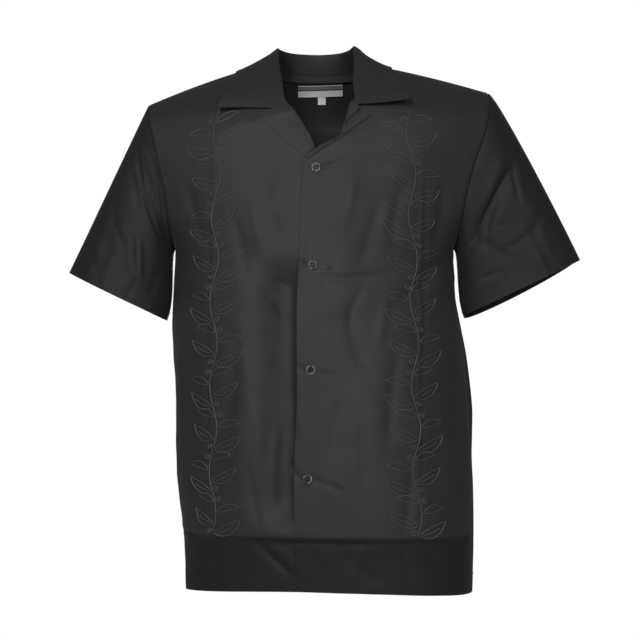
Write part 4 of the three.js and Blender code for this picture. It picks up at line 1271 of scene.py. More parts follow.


# How the cloth's colour changes: between its threads, in paler patches (rubbed cloth and painted sheen),
# and below the pressed line (painted shade)
THREAD_GAP_SHADE = 0.88
WEAR_AND_SHEEN_PALENESS = 1.18
BELOW_PAINTED_SHADE = 0.6
BELOW_GLOSS = 0.7
PRESSED_LINE_WIDTH = 0.002


def cloth_material(name, colour, specular=0.5, below=None):
    """Matt woven cotton: the weave group on the UV map shades the colour and the bump. Where below gives
    a height of its UV map in metres, the cloth under it gets painted shade: darker and less glossy."""
    if name in bpy.data.materials:
        return bpy.data.materials[name]
    material, tree, shader = principled(name, roughness=0.68, specular=specular)
    uv, split = add_uv(tree)
    weave = tree.nodes.new("ShaderNodeGroup")
    weave.node_tree = weave_group()
    tree.links.new(uv, weave.inputs["Vector"])
    threads = ramp(tree, weave.outputs["Slub"], 0.38, 0.62)
    tone = mix_colour(tree, threads, shade(colour, THREAD_GAP_SHADE), colour)
    # Paler patches: rubbed cloth and painted sheen.
    wear_and_sheen_mask = ramp(tree, weave.outputs["Wear"], 0.3, 0.75)
    tone = mix_colour(tree, wear_and_sheen_mask, tone, shade(colour, WEAR_AND_SHEEN_PALENESS))
    # Painted shade below the pressed line: darker colour and less gloss.
    if below:
        above = ramp(tree, split["Y"], below - PRESSED_LINE_WIDTH, below)
        tone = mix_colour(tree, above, shade(colour, BELOW_PAINTED_SHADE), tone)
        gloss = add_scaled(tree, above, (1 - BELOW_GLOSS) * specular, BELOW_GLOSS * specular)
        tree.links.new(gloss, shader.inputs["Specular IOR Level"])
    tree.links.new(tone, shader.inputs["Base Color"])
    rough = add_scaled(tree, weave.outputs["Wear"], -0.1, 0.73)
    tree.links.new(rough, shader.inputs["Roughness"])
    shader.inputs["Sheen Weight"].default_value = 0.04
    shader.inputs["Sheen Roughness"].default_value = 0.4
    bump(tree, shader, weave.outputs["Height"], distance=0.00025, strength=0.5)
    return material


STRAND_PITCH = 0.0005


def thread_material(name, colour, roughness):
    """Satin-stitched thread: strands run across the cord at a slant, one for each pitch, and the grooves
    between them are painted darker as painted shade.
    """
    if name in bpy.data.materials:
        return bpy.data.materials[name]
    material, tree, shader = principled(name, roughness)
    uv, split = add_uv(tree)
    strands = add_waves(tree, add_scaled(tree, split["X"], 0.6, split["Y"]), STRAND_PITCH)
    height = add_scaled(tree, strands, 0.5, add_noise(tree, uv, 900.0))
    # Painted shade: the grooves between strands are darker.
    tone = mix_colour(tree, ramp(tree, height, -0.2, 0.9), shade(colour, 0.6), colour)
    tree.links.new(tone, shader.inputs["Base Color"])
    bump(tree, shader, height, distance=0.00015, strength=0.5)
    return material


def resin_material(name, dark, pale, rim, centres):
    """Polished smoky resin: two noises swirl the pale tone through the dark one, and each button's rim,
    past a distance from its centre, gets a painted highlight, paler where a third noise lets it."""
    if name in bpy.data.materials:
        return bpy.data.materials[name]
    material, tree, shader = principled(name, roughness=0.16, specular=0.6)
    place = tree.nodes.new("ShaderNodeTexCoord").outputs["Object"]
    swirl = add_noise(tree, place, 180.0, detail=4.0, stretch=(1, 1, 2.5))
    both = add_math(tree, "ADD", swirl, add_noise(tree, place, 60.0))
    smoke = ramp(tree, add_math(tree, "MULTIPLY", both, 0.5), 0.36, 0.66)
    tone = mix_colour(tree, smoke, dark, pale)
    nearest = None
    for centre in centres:
        node = tree.nodes.new("ShaderNodeVectorMath")
        node.operation = "DISTANCE"
        tree.links.new(place, node.inputs[0])
        node.inputs[1].default_value = centre
        away = node.outputs["Value"]
        nearest = away if nearest is None else add_math(tree, "MINIMUM", nearest, away)
    # Painted highlight: pale glints on each button's rim.
    glints = ramp(tree, add_noise(tree, place, 260.0), 0.42, 0.6)
    edge = add_math(tree, "MULTIPLY", ramp(tree, nearest, *RIM_HIGHLIGHT_FROM), glints)
    tree.links.new(mix_colour(tree, edge, tone, rim), shader.inputs["Base Color"])
    scratches = add_noise(tree, place, 2500.0, stretch=(1, 1, 8))
    tree.links.new(add_scaled(tree, scratches, 0.14, 0.1), shader.inputs["Roughness"])
    shader.inputs["Coat Weight"].default_value = 0.4
    shader.inputs["Coat Roughness"].default_value = 0.12
    return material


RIB_PITCH = 0.0006
STRIPE_EDGE = 0.0004


def label_material(name, pale, dark, stripes=()):
    """Woven satin tape: fine ribs across, and stripes between two heights of its UV map in
    metres, each a share of the way from the dark tone to the pale one."""
    if name in bpy.data.materials:
        return bpy.data.materials[name]
    material, tree, shader = principled(name, roughness=0.5, specular=0.55)
    uv, split = add_uv(tree)
    grain = add_noise(tree, uv, 500.0, stretch=(0.5, 4, 1))
    tone = mix_colour(tree, ramp(tree, grain, 0.35, 0.65), [c * 0.82 for c in pale], pale)
    for low, high, share in stripes:
        above = ramp(tree, split["Y"], low, low + STRIPE_EDGE)
        below = ramp(tree, split["Y"], high, high + STRIPE_EDGE)
        band = add_math(tree, "SUBTRACT", above, below)
        tone = mix_colour(tree, band, tone, [lerp(d, p, share) for d, p in zip(dark, pale)])
    tree.links.new(tone, shader.inputs["Base Color"])
    ribs = add_waves(tree, split["Y"], RIB_PITCH)
    bump(tree, shader, add_scaled(tree, ribs, 0.5, grain), distance=0.0001, strength=0.4)
    return material


# Settings that a user would change


class ShirtClothSettings(bpy.types.PropertyGroup):
    """The cloth panels."""

    thickness: bpy.props.FloatProperty(
        name="Cloth thickness",
        description="Thickness of a panel's cloth",
        default=0.0009,
        unit="LENGTH",
    )
    collar_thickness: bpy.props.FloatProperty(
        name="Collar thickness",
        description="Both layers and interfacing of the collar",
        default=0.0015,
        unit="LENGTH",
    )
    colour: bpy.props.FloatVectorProperty(
        name="Cloth colour",
        description="Dyed cotton",
        default=(0.0172, 0.0171, 0.0195),
        size=3,
        subtype="COLOR",
    )
    # Below this height the fronts get painted shade.
    pressed_line: bpy.props.FloatProperty(
        name="Pressed line",
        description="Height of the crease above the hem",
        default=0.0715,
        unit="LENGTH",
    )
    # Painted shade: a darker copy of the cloth colour for the sleeves.
    sleeve_shaded_colour: bpy.props.FloatVectorProperty(
        name="Sleeve colour",
        description="The sleeves, a little darker to match the photo",
        default=(0.0122, 0.0121, 0.0139),
        size=3,
        subtype="COLOR",
    )
    # Painted shade: a slightly darker copy of the cloth colour for the lapels.
    facing_shaded_colour: bpy.props.FloatVectorProperty(
        name="Facing colour",
        description="The turned-out lapels",
        default=(0.0165, 0.0164, 0.0187),
        size=3,
        subtype="COLOR",
    )


class ShirtTrimSettings(bpy.types.PropertyGroup):
    """Embroidery, stitches, buttons and labels."""

    cord_width: bpy.props.FloatProperty(
        name="Cord width",
        description="Width of the embroidered cord",
        default=0.0013,
        unit="LENGTH",
    )
    cord_height: bpy.props.FloatProperty(
        name="Cord height",
        description="How far the cord stands up",
        default=0.0009,
        unit="LENGTH",
    )
    # Paler than the black thread, as painted sheen on the cord.
    cord_sheen_colour: bpy.props.FloatVectorProperty(
        name="Cord colour",
        description="Embroidery thread",
        default=(0.095, 0.095, 0.1),
        size=3,
        subtype="COLOR",
    )
    stitch_pitch: bpy.props.FloatProperty(
        name="Stitch pitch",
        description="From one stitch to the next",
        default=0.0028,
        unit="LENGTH",
    )
    thread: bpy.props.FloatProperty(
        name="Thread",
        description="Thickness of the sewing thread",
        default=0.00045,
        unit="LENGTH",
    )
    thread_colour: bpy.props.FloatVectorProperty(
        name="Thread colour",
        description="Sewing thread",
        default=(0.02, 0.02, 0.022),
        size=3,
        subtype="COLOR",
    )
    resin_dark: bpy.props.FloatVectorProperty(
        name="Resin, dark",
        description="Dark tone of the buttons",
        default=(0.018, 0.018, 0.019),
        size=3,
        subtype="COLOR",
    )
    resin_pale: bpy.props.FloatVectorProperty(
        name="Resin, pale",
        description="Pale tone of the buttons",
        default=(0.06, 0.06, 0.064),
        size=3,
        subtype="COLOR",
    )
    # Painted highlight on the buttons' rims.
    resin_rim_highlight: bpy.props.FloatVectorProperty(
        name="Resin, rim",
        description="Polished rim of the buttons",
        default=(0.3, 0.3, 0.32),
        size=3,
        subtype="COLOR",
    )
    label_pale: bpy.props.FloatVectorProperty(
        name="Label",
        description="Silver-grey woven tape",
        default=(0.74, 0.74, 0.75),
        size=3,
        subtype="COLOR",
    )
    label_dark: bpy.props.FloatVectorProperty(
        name="Label stripe",
        description="The darker stripe of the label",
        default=(0.07, 0.07, 0.074),
        size=3,
        subtype="COLOR",
    )


class ShirtStageSettings(bpy.types.PropertyGroup):
    """Camera, lights and floor."""

    camera_distance: bpy.props.FloatProperty(
        name="Camera distance",
        description="From the camera to the shirt's middle",
        default=3.4,
        unit="LENGTH",
    )
    camera_height: bpy.props.FloatProperty(
        name="Camera height",
        description="Height of the camera above the neck base",
        default=-0.362,
        unit="LENGTH",
    )
    frame_width: bpy.props.FloatProperty(
        name="Frame width",
        description="Width of the view at the shirt's middle",
        default=0.909,
        unit="LENGTH",
    )
    key_power: bpy.props.FloatProperty(
        name="Key light",
        description="Power of the softbox above, in front",
        default=46.0,
        unit="POWER",
    )
    fill_power: bpy.props.FloatProperty(
        name="Fill light",
        description="Power of the softbox lower down, in front",
        default=28.0,
        unit="POWER",
    )
    back_power: bpy.props.FloatProperty(
        name="Back light",
        description="Power of the softbox behind",
        default=45.0,
        unit="POWER",
    )
    room_light: bpy.props.FloatProperty(
        name="Room light",
        description="Strength of the light all round",
        default=0.125,
    )


def cloth_settings():
    """The scene's settings for the cloth."""
    return bpy.context.scene.shirt_cloth


def trim_settings():
    """The scene's settings for the trim."""
    return bpy.context.scene.shirt_trim


def cotton():
    """The cloth of the back, the yoke and the collar."""
    return cloth_material("black_cotton", tuple(cloth_settings().colour))


def front_cotton():
    """The same cloth on the fronts, with painted shade below the pressed line, where it is darker and
    less glossy.
    """
    cloth = cloth_settings()
    return cloth_material("front_cotton", tuple(cloth.colour), below=cloth.pressed_line)


def sleeve_cotton():
    """The sleeves' cloth, a little darker and less glossy: a copy of the cloth with painted shade."""
    return cloth_material("sleeve_cotton", tuple(cloth_settings().sleeve_shaded_colour), specular=0.36)


def sewing_thread():
    """The thread of the stitches, the buttons and the buttonholes."""
    return thread_material("sewing_thread", tuple(trim_settings().thread_colour), 0.55)


EASED_ROWS = 4
EASING_ROUNDS = 14


def eased(points, u, row):
    """A panel's points with each column smoothed round one row, as (before + 2 point + after) / 4
    again and again, but not at the panel's edges."""
    away = (np.arange(len(points)) - row) / EASED_ROWS
    inside = smoothstep(u, 0.02, 0.1) * (1 - smoothstep(u, 0.9, 0.98))
    share = (np.exp(-(away**2))[:, None] * inside)[1:-1, :, None]
    for _ in range(EASING_ROUNDS):
        mean = (points[:-2] + 2 * points[1:-1] + points[2:]) / 4
        points[1:-1] = lerp(points[1:-1], mean, share)
    return points


# Each panel's grid, as columns, rows and how far the columns crowd, and its width and length
FRONT_GRID = (150, 250, 0.5)
BACK_GRID = (170, 180, 0.5)
YOKE_GRID = (160, 50, 0.5)
SLEEVE_GRID = (180, 110)
COLLAR_GRID = (220, 60, 0.4)
LAPEL_GRID = (60, 40)
FRONT_SIZE = (330, 770)
BACK_SIZE = (590, 660)
YOKE_SIZE = (480, 140)
SLEEVE_SIZE = (430, 250)
COLLAR_SIZE = (450, 100)
LAPEL_SIZE = (75, 50)


class SHIRT_OT_fronts(bpy.types.Operator):
    """Make the two fronts, the wearer's left lying over the right"""

    bl_idname = "shirt.fronts"
    bl_label = "Fronts"

    def execute(self, context):
        thickness = cloth_settings().thickness / MM
        for side, name in ((RIGHT, "front_right"), (LEFT, "front_left")):
            u, v = grid(*FRONT_GRID)
            points = eased(front_surface(side, u, v), u, UNDERARM_AT * FRONT_GRID[1])
            mesh = cloth_wall(f"{name}_cloth", points, FRONT_SIZE, thickness, side)
            new_piece(f"{name}_cloth", mesh, front_cotton(), [name])
        return {"FINISHED"}


ALLOWANCE_ON_BACK = (0.985, 0.992, 1.0)
ALLOWANCE_ON_YOKE = (0.03, 0.06)
ALLOWANCE_INSET = 0.012
ALLOWANCE_SIZE = (480, 12)
ALLOWANCE_THICKNESS = 0.3
ALLOWANCE_LIFT = 0.05
NECK_TAPE_AT = {"u": (0.32, 0.68), "v": (0.88, 0.998)}
NECK_TAPE_SIZE = (170, 8)
NECK_TAPE_THICKNESS = 0.6
NECK_TAPE_LIFT = 0.2
NECK_TAPE_SWELL = 5
NECK_TAPE_ROUND = 0.1  # the share of its width over which it swells up


class SHIRT_OT_back(bpy.types.Operator):
    """Make the back and the yoke above it"""

    bl_idname = "shirt.back"
    bl_label = "Back and yoke"

    def execute(self, context):
        thickness = cloth_settings().thickness / MM
        u, v = grid(*BACK_GRID)
        points = eased(back_surface(u, v), u, BACK_UNDERARM_AT * BACK_GRID[1])
        mesh = cloth_wall("back_cloth", points, BACK_SIZE, thickness, -1)
        new_piece("back_cloth", mesh, cotton(), ["back"])
        u, v = grid(*YOKE_GRID)
        mesh = cloth_wall("yoke_cloth", yoke_surface(u, v), YOKE_SIZE, thickness, -1)
        new_piece("yoke_cloth", mesh, cotton(), ["yoke"])

        # The felled allowance inside the yoke seam lies over both edges.
        u = np.linspace(ALLOWANCE_INSET, 1 - ALLOWANCE_INSET, 161)[None, :]
        rows = [back_surface(u, v) for v in ALLOWANCE_ON_BACK]
        rows += [yoke_surface(u, v) for v in ALLOWANCE_ON_YOKE]
        points = np.concatenate(rows)
        normal = unit(np.cross(np.gradient(points, axis=1), np.gradient(points, axis=0)))
        points = points + normal * (thickness + ALLOWANCE_LIFT)
        mesh = cloth_wall("yoke_seam_allowance", points, ALLOWANCE_SIZE, ALLOWANCE_THICKNESS, -1)
        new_piece("yoke_seam_allowance", mesh, cotton())

        # A rolled neck tape covers the inside of the neck seam.
        (left, right), (low, high) = NECK_TAPE_AT["u"], NECK_TAPE_AT["v"]
        u, v = np.meshgrid(np.linspace(left, right, 121), np.linspace(low, high, 17))
        p = yoke_shape(u, v)
        normal = normal_of(yoke_shape, u, v, -1)
        t = (v - low) / (high - low)
        swell = NECK_TAPE_SWELL * (1 - t) * np.minimum(t / NECK_TAPE_ROUND, 1)
        points = p - normal * (thickness + NECK_TAPE_LIFT + swell)[..., None]
        mesh = cloth_wall("neck_tape", points, NECK_TAPE_SIZE, NECK_TAPE_THICKNESS, 1)
        new_piece("neck_tape", mesh, cotton())
        return {"FINISHED"}


SLEEVE_TUCK = (-3, 0, -1)  # the seam allowance inside the armhole


class SHIRT_OT_sleeves(bpy.types.Operator):
    """Make the two sleeves"""

    bl_idname = "shirt.sleeves"
    bl_label = "Sleeves"

    def execute(self, context):
        thickness = cloth_settings().thickness / MM
        for side, name in ((RIGHT, "sleeve_right"), (LEFT, "sleeve_left")):
            u, v = (a[:, :-1] for a in grid(*SLEEVE_GRID))
            points = sleeve_surface(side, u, v)
            tucked = points[:1] + on_side(side, np.array(SLEEVE_TUCK))
            points = np.concatenate([tucked, points])
            mesh = cloth_wall(f"{name}_cloth", points, SLEEVE_SIZE, thickness, -side, closed=True)
            new_piece(f"{name}_cloth", mesh, sleeve_cotton(), [name])
        return {"FINISHED"}


LEAF_MIDDLE = 0.6  # the share of the leaf at which its middle line lies
LEAF_SWELL = 2.6
LAPEL_THICKNESS = 1.1
TAIL_LIFT = 1.8
TAIL_GRID = (60, 24)
TAIL_SIZE = (60, 14)
TAIL_THICKNESS = 1.0


class SHIRT_OT_collar(bpy.types.Operator):
    """Make the collar with its stand and turned-down leaf, and the two lapels"""

    bl_idname = "shirt.collar"
    bl_label = "Collar and lapels"

    def execute(self, context):
        leaf = {}
        for side in (RIGHT, LEFT):
            middle = leaf_line(side, LEAF_MIDDLE, COLLAR_CLEARANCE + LEAF_SWELL)
            leaf[side] = (middle, leaf_line(side, 1, COLLAR_CLEARANCE))
        u, v = grid(*COLLAR_GRID)
        thickness = cloth_settings().collar_thickness / MM
        mesh = cloth_wall("collar_cloth", collar_surface(u, v, leaf), COLLAR_SIZE, thickness, -1)
        new_piece("collar_cloth", mesh, cotton(), ["collar"])
        # The lapels' cloth is a slightly darker copy, as painted shade.
        facing = cloth_material("facing_cotton", tuple(cloth_settings().facing_shaded_colour))
        for side, name in ((RIGHT, "lapel_right"), (LEFT, "lapel_left")):
            points = lapel_surface(side, *grid(*LAPEL_GRID))
            mesh = cloth_wall(f"{name}_cloth", points, LAPEL_SIZE, LAPEL_THICKNESS, side)
            new_piece(f"{name}_cloth", mesh, facing, [name])

        # The collar's end runs out along the wearer's left roll line, over the lapel.
        points = lapel_surface(LEFT, *grid(*TAIL_GRID), COLLAR_TAIL, TAIL_LIFT)
        mesh = cloth_wall("collar_tail", points, TAIL_SIZE, TAIL_THICKNESS, LEFT)
        new_piece("collar_tail", mesh, cotton())
        return {"FINISHED"}


# Stripes of the label as (from, to, paleness), in metres above its lower edge
LABEL_STRIPES = (
    (0.0078, 0.0101, 0.0),
    (0.0101, 0.0112, 0.13),
    (0.0112, 0.0121, 0.02),
    (0.0121, 0.0142, 0.12),
)


# Each label's width, the heights of its lower and upper edge, how far one end is higher, and
# the x of its middle
LABELS = {"label": (66, -34.4, -19.5, 1.6, 5), "size_tag": (11.6, -45.4, -35, 0, 7)}
LABEL_GRID = (48, 16)
LABEL_THICKNESS = 0.6
LABEL_LIFT = 0.45
LABEL_CURL, LABEL_WAVE = 0.9, 0.25  # how far its free lower edge stands off and waves
SOLID_WALL = 1.5
YOKE_REACH = 400  # 0.5 + x / YOKE_REACH is a first guess of the label's place along the yoke
TAG_PALER = 1.28


class SHIRT_OT_labels(bpy.types.Operator):
    """Make the bare woven label inside the neck and the size tag below it"""

    bl_idname = "shirt.labels"
    bl_label = "Label and size tag"

    def execute(self, context):
        trim = trim_settings()
        pale, dark = tuple(trim.label_pale), tuple(trim.label_dark)
        materials = {
            "label": label_material("woven_label", pale, dark, LABEL_STRIPES),
            "size_tag": label_material("woven_tag", shade(pale, TAG_PALER), dark),
        }
        for name, (wide, bottom, top, tilt, middle) in LABELS.items():
            u, v = grid(*LABEL_GRID)
            x = middle + lerp(wide / 2, -wide / 2, u)
            z = lerp(bottom, top, v) + tilt * (x - middle) / wide
            start = (0.5 + x / YOKE_REACH, np.full_like(x, 0.5))
            p, normal = settle(yoke_shape, (0, 2), np.stack([x, z], -1), start, -1)
            curl = LABEL_CURL * (1 - v) ** 2 + LABEL_WAVE * np.sin(9 * u + 1) * (1 - v)
            points = p - normal * (SOLID_WALL + LABEL_LIFT + curl)[..., None]
            size = (wide, top - bottom)
            mesh = cloth_wall(f"{name}_cloth", points, size, LABEL_THICKNESS, 1)
            new_piece(f"{name}_cloth", mesh, materials[name], [name])
        return {"FINISHED"}


# Between these distances the painted highlight on a button's rim fades in.
RIM_HIGHLIGHT_FROM = (0.0046, 0.0056)  # from a button's centre, in metres
BUTTON_HOLE_SPACING = 3
STRANDS = (-0.3, 0, 0.3)
STRAND_RADIUS = 0.2
STRAND_SAMPLES = 15
STRAND_SINK = 0.9  # how far below the button's face the strands start
STRAND_ARCH = 0.55
STRAND_DIP = 1.6
BUTTONHOLE_LENGTH = 15
BUTTONHOLE_AHEAD = 2.5  # its middle is this much nearer the front's edge than the button's
BUTTONHOLE_HALF_WIDTH = 1.1
BUTTONHOLE_CORD = (0.75, 0.45)
BUTTONHOLE_SAMPLES = 60


def button_place(z):
    """The button line's place on the outer front at a height: (point, normal)."""
    centre = hang(xyz(0, -body(z, "front") - OVERLAP_LIFT, z))
    return on_front(LEFT, centre[..., 0], np.asarray(z, float))


class SHIRT_OT_buttons(bpy.types.Operator):
    """Finish the buttons, sew them on and work the buttonholes"""

    bl_idname = "shirt.buttons"
    bl_label = "Buttons and buttonholes"

    def execute(self, context):
        trim = trim_settings()
        places = [button_place(z) for z in BUTTON_Z]
        centres = [tuple((place + normal * BUTTON_THICKNESS) * MM) for place, normal in places]
        tones = (tuple(tone) for tone in (trim.resin_dark, trim.resin_pale, trim.resin_rim_highlight))
        resin = resin_material("smoky_resin", *tones, centres)
        # Each strand arches as 1 - t^4 between two holes and dips into them as |t|^7.
        t = np.linspace(-1, 1, STRAND_SAMPLES)
        arch = STRAND_ARCH * (1 - t**4) - STRAND_DIP * np.abs(t) ** 7
        height = BUTTON_LIFT + BUTTON_THICKNESS - STRAND_SINK + arch
        half = BUTTON_HOLE_SPACING / 2
        angle = 2 * np.pi * np.linspace(0, 1, BUTTONHOLE_SAMPLES)
        for number, (z, (place, normal)) in enumerate(zip(BUTTON_Z, places), 1):
            solid = bpy.data.objects[f"button_{number}"]
            for slot in solid.material_slots:
                slot.material = resin
            across = unit(np.cross(normal, [0, 0, 1]))
            up = np.cross(across, normal)
            normals = np.tile(normal, (STRAND_SAMPLES, 1))
            between = place + np.outer(t * half, across)
            parts = []
            for row in (-half, half):
                for strand in STRANDS:
                    path = between + up * (row + strand) + np.outer(height, normal)
                    cord = cord_parts(path, normals, STRAND_RADIUS, STRAND_RADIUS, sides=6, sink=0)
                    parts.append(cord)
            name = f"button_thread_{number}"
            new_piece(name, joined(name, parts), sewing_thread())

            # The buttonhole runs level from just past the shank towards the front's edge.
            x = place[0] - BUTTONHOLE_AHEAD + (BUTTONHOLE_LENGTH / 2 - 1) * np.cos(angle)
            rail = z + BUTTONHOLE_HALF_WIDTH * np.clip(np.sin(angle) * 3, -1, 1)
            p, n = on_front(LEFT, x, rail, front_surface)
            name = f"buttonhole_{number}"
            hole = joined(name, [cord_parts(p, n, *BUTTONHOLE_CORD)])
            new_piece(name, hole, sewing_thread())
        return {"FINISHED"}


# The embroidered bands: a climbing stem with leaves and tendrils
BAND_CENTRE = {
    RIGHT: table("z x", (-662, -144), (-300, -141), (-60, -136)),
    LEFT: table("z x", (-662, 137.5), (-300, 133), (-60, 128)),
}
BAND_BOTTOM, BAND_TOP = -656, -66
ROW_HEIGHT = 58.5
STEM_SWAY = 6.5

# Leaves of one row: out is the side of the stem, rise the height of the leaf's root in the
# row, angle its first heading from level and bend how far that turns along it
LEAVES = table(
    "out rise length width angle bend veined",
    (1, 0, 50, 17, 0, 46, 1),
    (1, 29, 38, 11, 32, -40, 0),
    (-1, 14, 48, 16, 2, 46, 1),
    (-1, 43, 36, 11, 34, -42, 0),
)
TENDRILS = table("out rise size turns", (1, 47, 4.5, 1.3), (-1, 3, 4.5, 1.3))


HALVINGS = 30


def band_lines(side):
    """The band's centre line on a front, found by halving: v, its u, the distance along it,
    and that distance at the band's top."""
    v = np.linspace(0.04, 0.97, 500)
    low, high = np.zeros_like(v), np.ones_like(v)
    for _ in range(HALVINGS):
        u = (low + high) / 2
        p = front_shape(side, u, v)
        short = side * p[:, 0] < side * read(BAND_CENTRE[side], "x", p[:, 2], "z")
        low, high = np.where(short, u, low), np.where(short, high, u)
    p = front_shape(side, u, v)
    length = distance_along(p)
    length -= np.interp(BAND_BOTTOM, p[:, 2], length)
    top = np.interp(BAND_TOP, p[:, 2], length)
    return v, u, length, top


def on_band(side, lines, s, t):
    """The place on the front that lies s across the band and t up it, along the cloth. The
    cloth's width for each unit of u is read halfway there, the second time round."""
    vs, us, length, _ = lines
    v = np.interp(t, length, vs)
    centre = np.interp(v, vs, us)
    u = centre
    step = 0.004
    for _ in range(2):
        ahead, behind = front_shape(side, u + step, v), front_shape(side, u - step, v)
        width = np.linalg.norm(ahead - behind, axis=-1)
        guess = centre + side * s * 2 * step / width
        u = lerp(centre, guess, 0.5)
    u = np.clip(guess, 0.01, 0.985)
    p = front_surface(side, u, v)
    return p, normal_of(partial(front_surface, side), u, v, side, step=2e-3)


def stem_place(t):
    """The stem sways as sin(pi t / row height)."""
    return STEM_SWAY * np.sin(np.pi * t / ROW_HEIGHT)


LEAF_GAP = 1.5
VINE_LEAF_SAMPLES = 34
MIDRIB = slice(4, 25)


def leaf_paths(t0, mirror, row):
    """The outline and midrib of a leaf in band coordinates: its axis turns evenly from its
    first heading, and its half width is width / 2 sin(pi q)^0.8 (1 - 0.3 q)."""
    q = np.linspace(0, 1, VINE_LEAF_SAMPLES)
    heading = np.radians(row["angle"] + row["bend"] * q)
    ds = np.cumsum(np.cos(heading)) * row["length"] / len(q)
    dt = np.cumsum(np.sin(heading)) * row["length"] / len(q)
    out = row["out"] * mirror
    root_t = t0 + row["rise"]
    s, t = stem_place(root_t) + out * (ds + LEAF_GAP), root_t + dt
    half = row["width"] / 2 * np.sin(np.pi * np.clip(q, 0.001, 0.999)) ** 0.8 * (1 - 0.3 * q)
    across_s, across_t = -out * np.sin(heading), np.cos(heading)
    paths = [(s + across_s * half, t + across_t * half), (s - across_s * half, t - across_t * half)]
    if row["veined"]:
        paths.append((s[MIDRIB], t[MIDRIB]))
    return paths


TENDRIL_SAMPLES = 40
TENDRIL_SHRINKS = 0.75
TENDRIL_GAP = 2


def tendril_path(t0, mirror, row):
    """A spiral whose radius shrinks evenly as it turns."""
    q = np.linspace(0, 1, TENDRIL_SAMPLES)
    out = row["out"] * mirror
    angle = 2 * np.pi * row["turns"] * q
    radius = row["size"] * (1 - TENDRIL_SHRINKS * q)
    root_t = t0 + row["rise"]
    s = stem_place(root_t) + out * (row["size"] + TENDRIL_GAP - radius * np.cos(angle))
    return s, root_t + radius * np.sin(angle)


def rows_of(rows):
    """Each row of a table as named values."""
    return [dict(zip(rows, values)) for values in zip(*rows.values())]


STEM_STEP = 2.2
PAST_TOP = 6  # how far leaves may reach past the band's top
SHORTEST_PATH = 6  # in points


class SHIRT_OT_embroidery(bpy.types.Operator):
    """Embroider a climbing vine in raised cord up both fronts"""

    bl_idname = "shirt.embroidery"
    bl_label = "Embroidery"

    def execute(self, context):
        trim = trim_settings()
        # The cord's pale colour is painted sheen.
        thread = thread_material("embroidery_thread", tuple(trim.cord_sheen_colour), 0.4)
        half_width, height = trim.cord_width / 2 / MM, trim.cord_height / MM
        for side, name in ((RIGHT, "embroidery_right"), (LEFT, "embroidery_left")):
            lines = band_lines(side)
            top = lines[3]
            t = np.arange(0, top, STEM_STEP)
            paths = [(stem_place(t), t)]
            for number in range(int(top // ROW_HEIGHT)):
                mirror = 1 if number % 2 == 0 else -1
                for row in rows_of(LEAVES):
                    paths += leaf_paths(number * ROW_HEIGHT, mirror, row)
                paths += [tendril_path(number * ROW_HEIGHT, mirror, row) for row in rows_of(TENDRILS)]
            kept = [(s[t < top + PAST_TOP], t[t < top + PAST_TOP]) for s, t in paths]
            kept = [(s, t) for s, t in kept if len(s) >= SHORTEST_PATH]
            counts = np.cumsum([len(s) for s, _ in kept])[:-1]
            across, along = (np.concatenate([path[k] for path in kept]) for k in (0, 1))
            places = (np.split(a, counts) for a in on_band(side, lines, across, along))
            parts = [cord_parts(p, n, half_width, height) for p, n in zip(*places)]
            new_piece(name, joined(name, parts), thread)
        return {"FINISHED"}


HEM_DEPTH = 24
SLEEVE_HEM_DEPTH = 22
STITCH_SHARE = 0.8  # of the pitch, for the thread that shows


class SHIRT_OT_stitching(bpy.types.Operator):
    """Sew the hem and the sleeve hems"""

    bl_idname = "shirt.stitching"
    bl_label = "Stitching"

    def execute(self, context):
        trim = trim_settings()
        pitch, thread = trim.stitch_pitch / MM, trim.thread / MM

        def row_on(surface, outside, u, v, around=False):
            """The stitches of one row, along (u, v) on a surface."""
            p = surface(u, v)
            normal = normal_of(surface, u, v, outside, step=2e-3, around=around)
            raised = p + normal * thread * 0.2
            return stitch_parts(raised, normal, pitch, pitch * STITCH_SHARE, thread)

        t = np.linspace(0.003, 0.997, 400)
        hem_v = HEM_DEPTH / (UNDERARM_Z - HEM_Z)
        front_v = np.full_like(t, hem_v * UNDERARM_AT)
        hem = [row_on(partial(front_surface, side), side, t, front_v) for side in (RIGHT, LEFT)]
        hem.append(row_on(back_surface, -1, t, np.full_like(t, hem_v * BACK_UNDERARM_AT)))
        new_piece("hem_stitches", joined("hem_stitches", hem), sewing_thread())

        sleeves = []
        for side in (RIGHT, LEFT):
            u = np.linspace(0, 0.999, 400)
            reach = np.linalg.norm(sleeve_shape(side, u, 1.0) - sleeve_shape(side, u, 0.85), axis=-1)
            v = 1 - 0.15 * SLEEVE_HEM_DEPTH / reach
            sleeves.append(row_on(partial(sleeve_surface, side), -side, u, v, around=True))
        mesh = joined("sleeve_hem_stitches", sleeves)
        new_piece("sleeve_hem_stitches", mesh, sewing_thread())
        return {"FINISHED"}


FLOOR_Z = -1.9
FLOOR_RADIUS = 6.0
FLOOR_SAMPLES = 97
CAMERA_X = 0.0043

# Each softbox's place, the point it faces, and its size
SOFTBOXES = {
    "key": ((-0.85, -2.85, 0.95), (0, -0.1, -0.34), 0.7),
    "fill": ((0.75, -3.15, 0.35), (0, -0.1, -0.34), 0.9),
    "back": ((0.1, 3.2, -0.25), (0, 0.1, -0.34), 1),
}


def area_light(name, place, aim, size, power):
    """A square softbox at a place, turned to face a point."""
    lamp = bpy.data.lights.new(name, "AREA")
    lamp.size = size
    lamp.energy = power
    holder = bpy.data.objects.new(name, lamp)
    bpy.context.scene.collection.objects.link(holder)
    holder.location = place
    way = Vector(aim) - Vector(place)
    holder.rotation_euler = way.to_track_quat("-Z", "Y").to_euler()


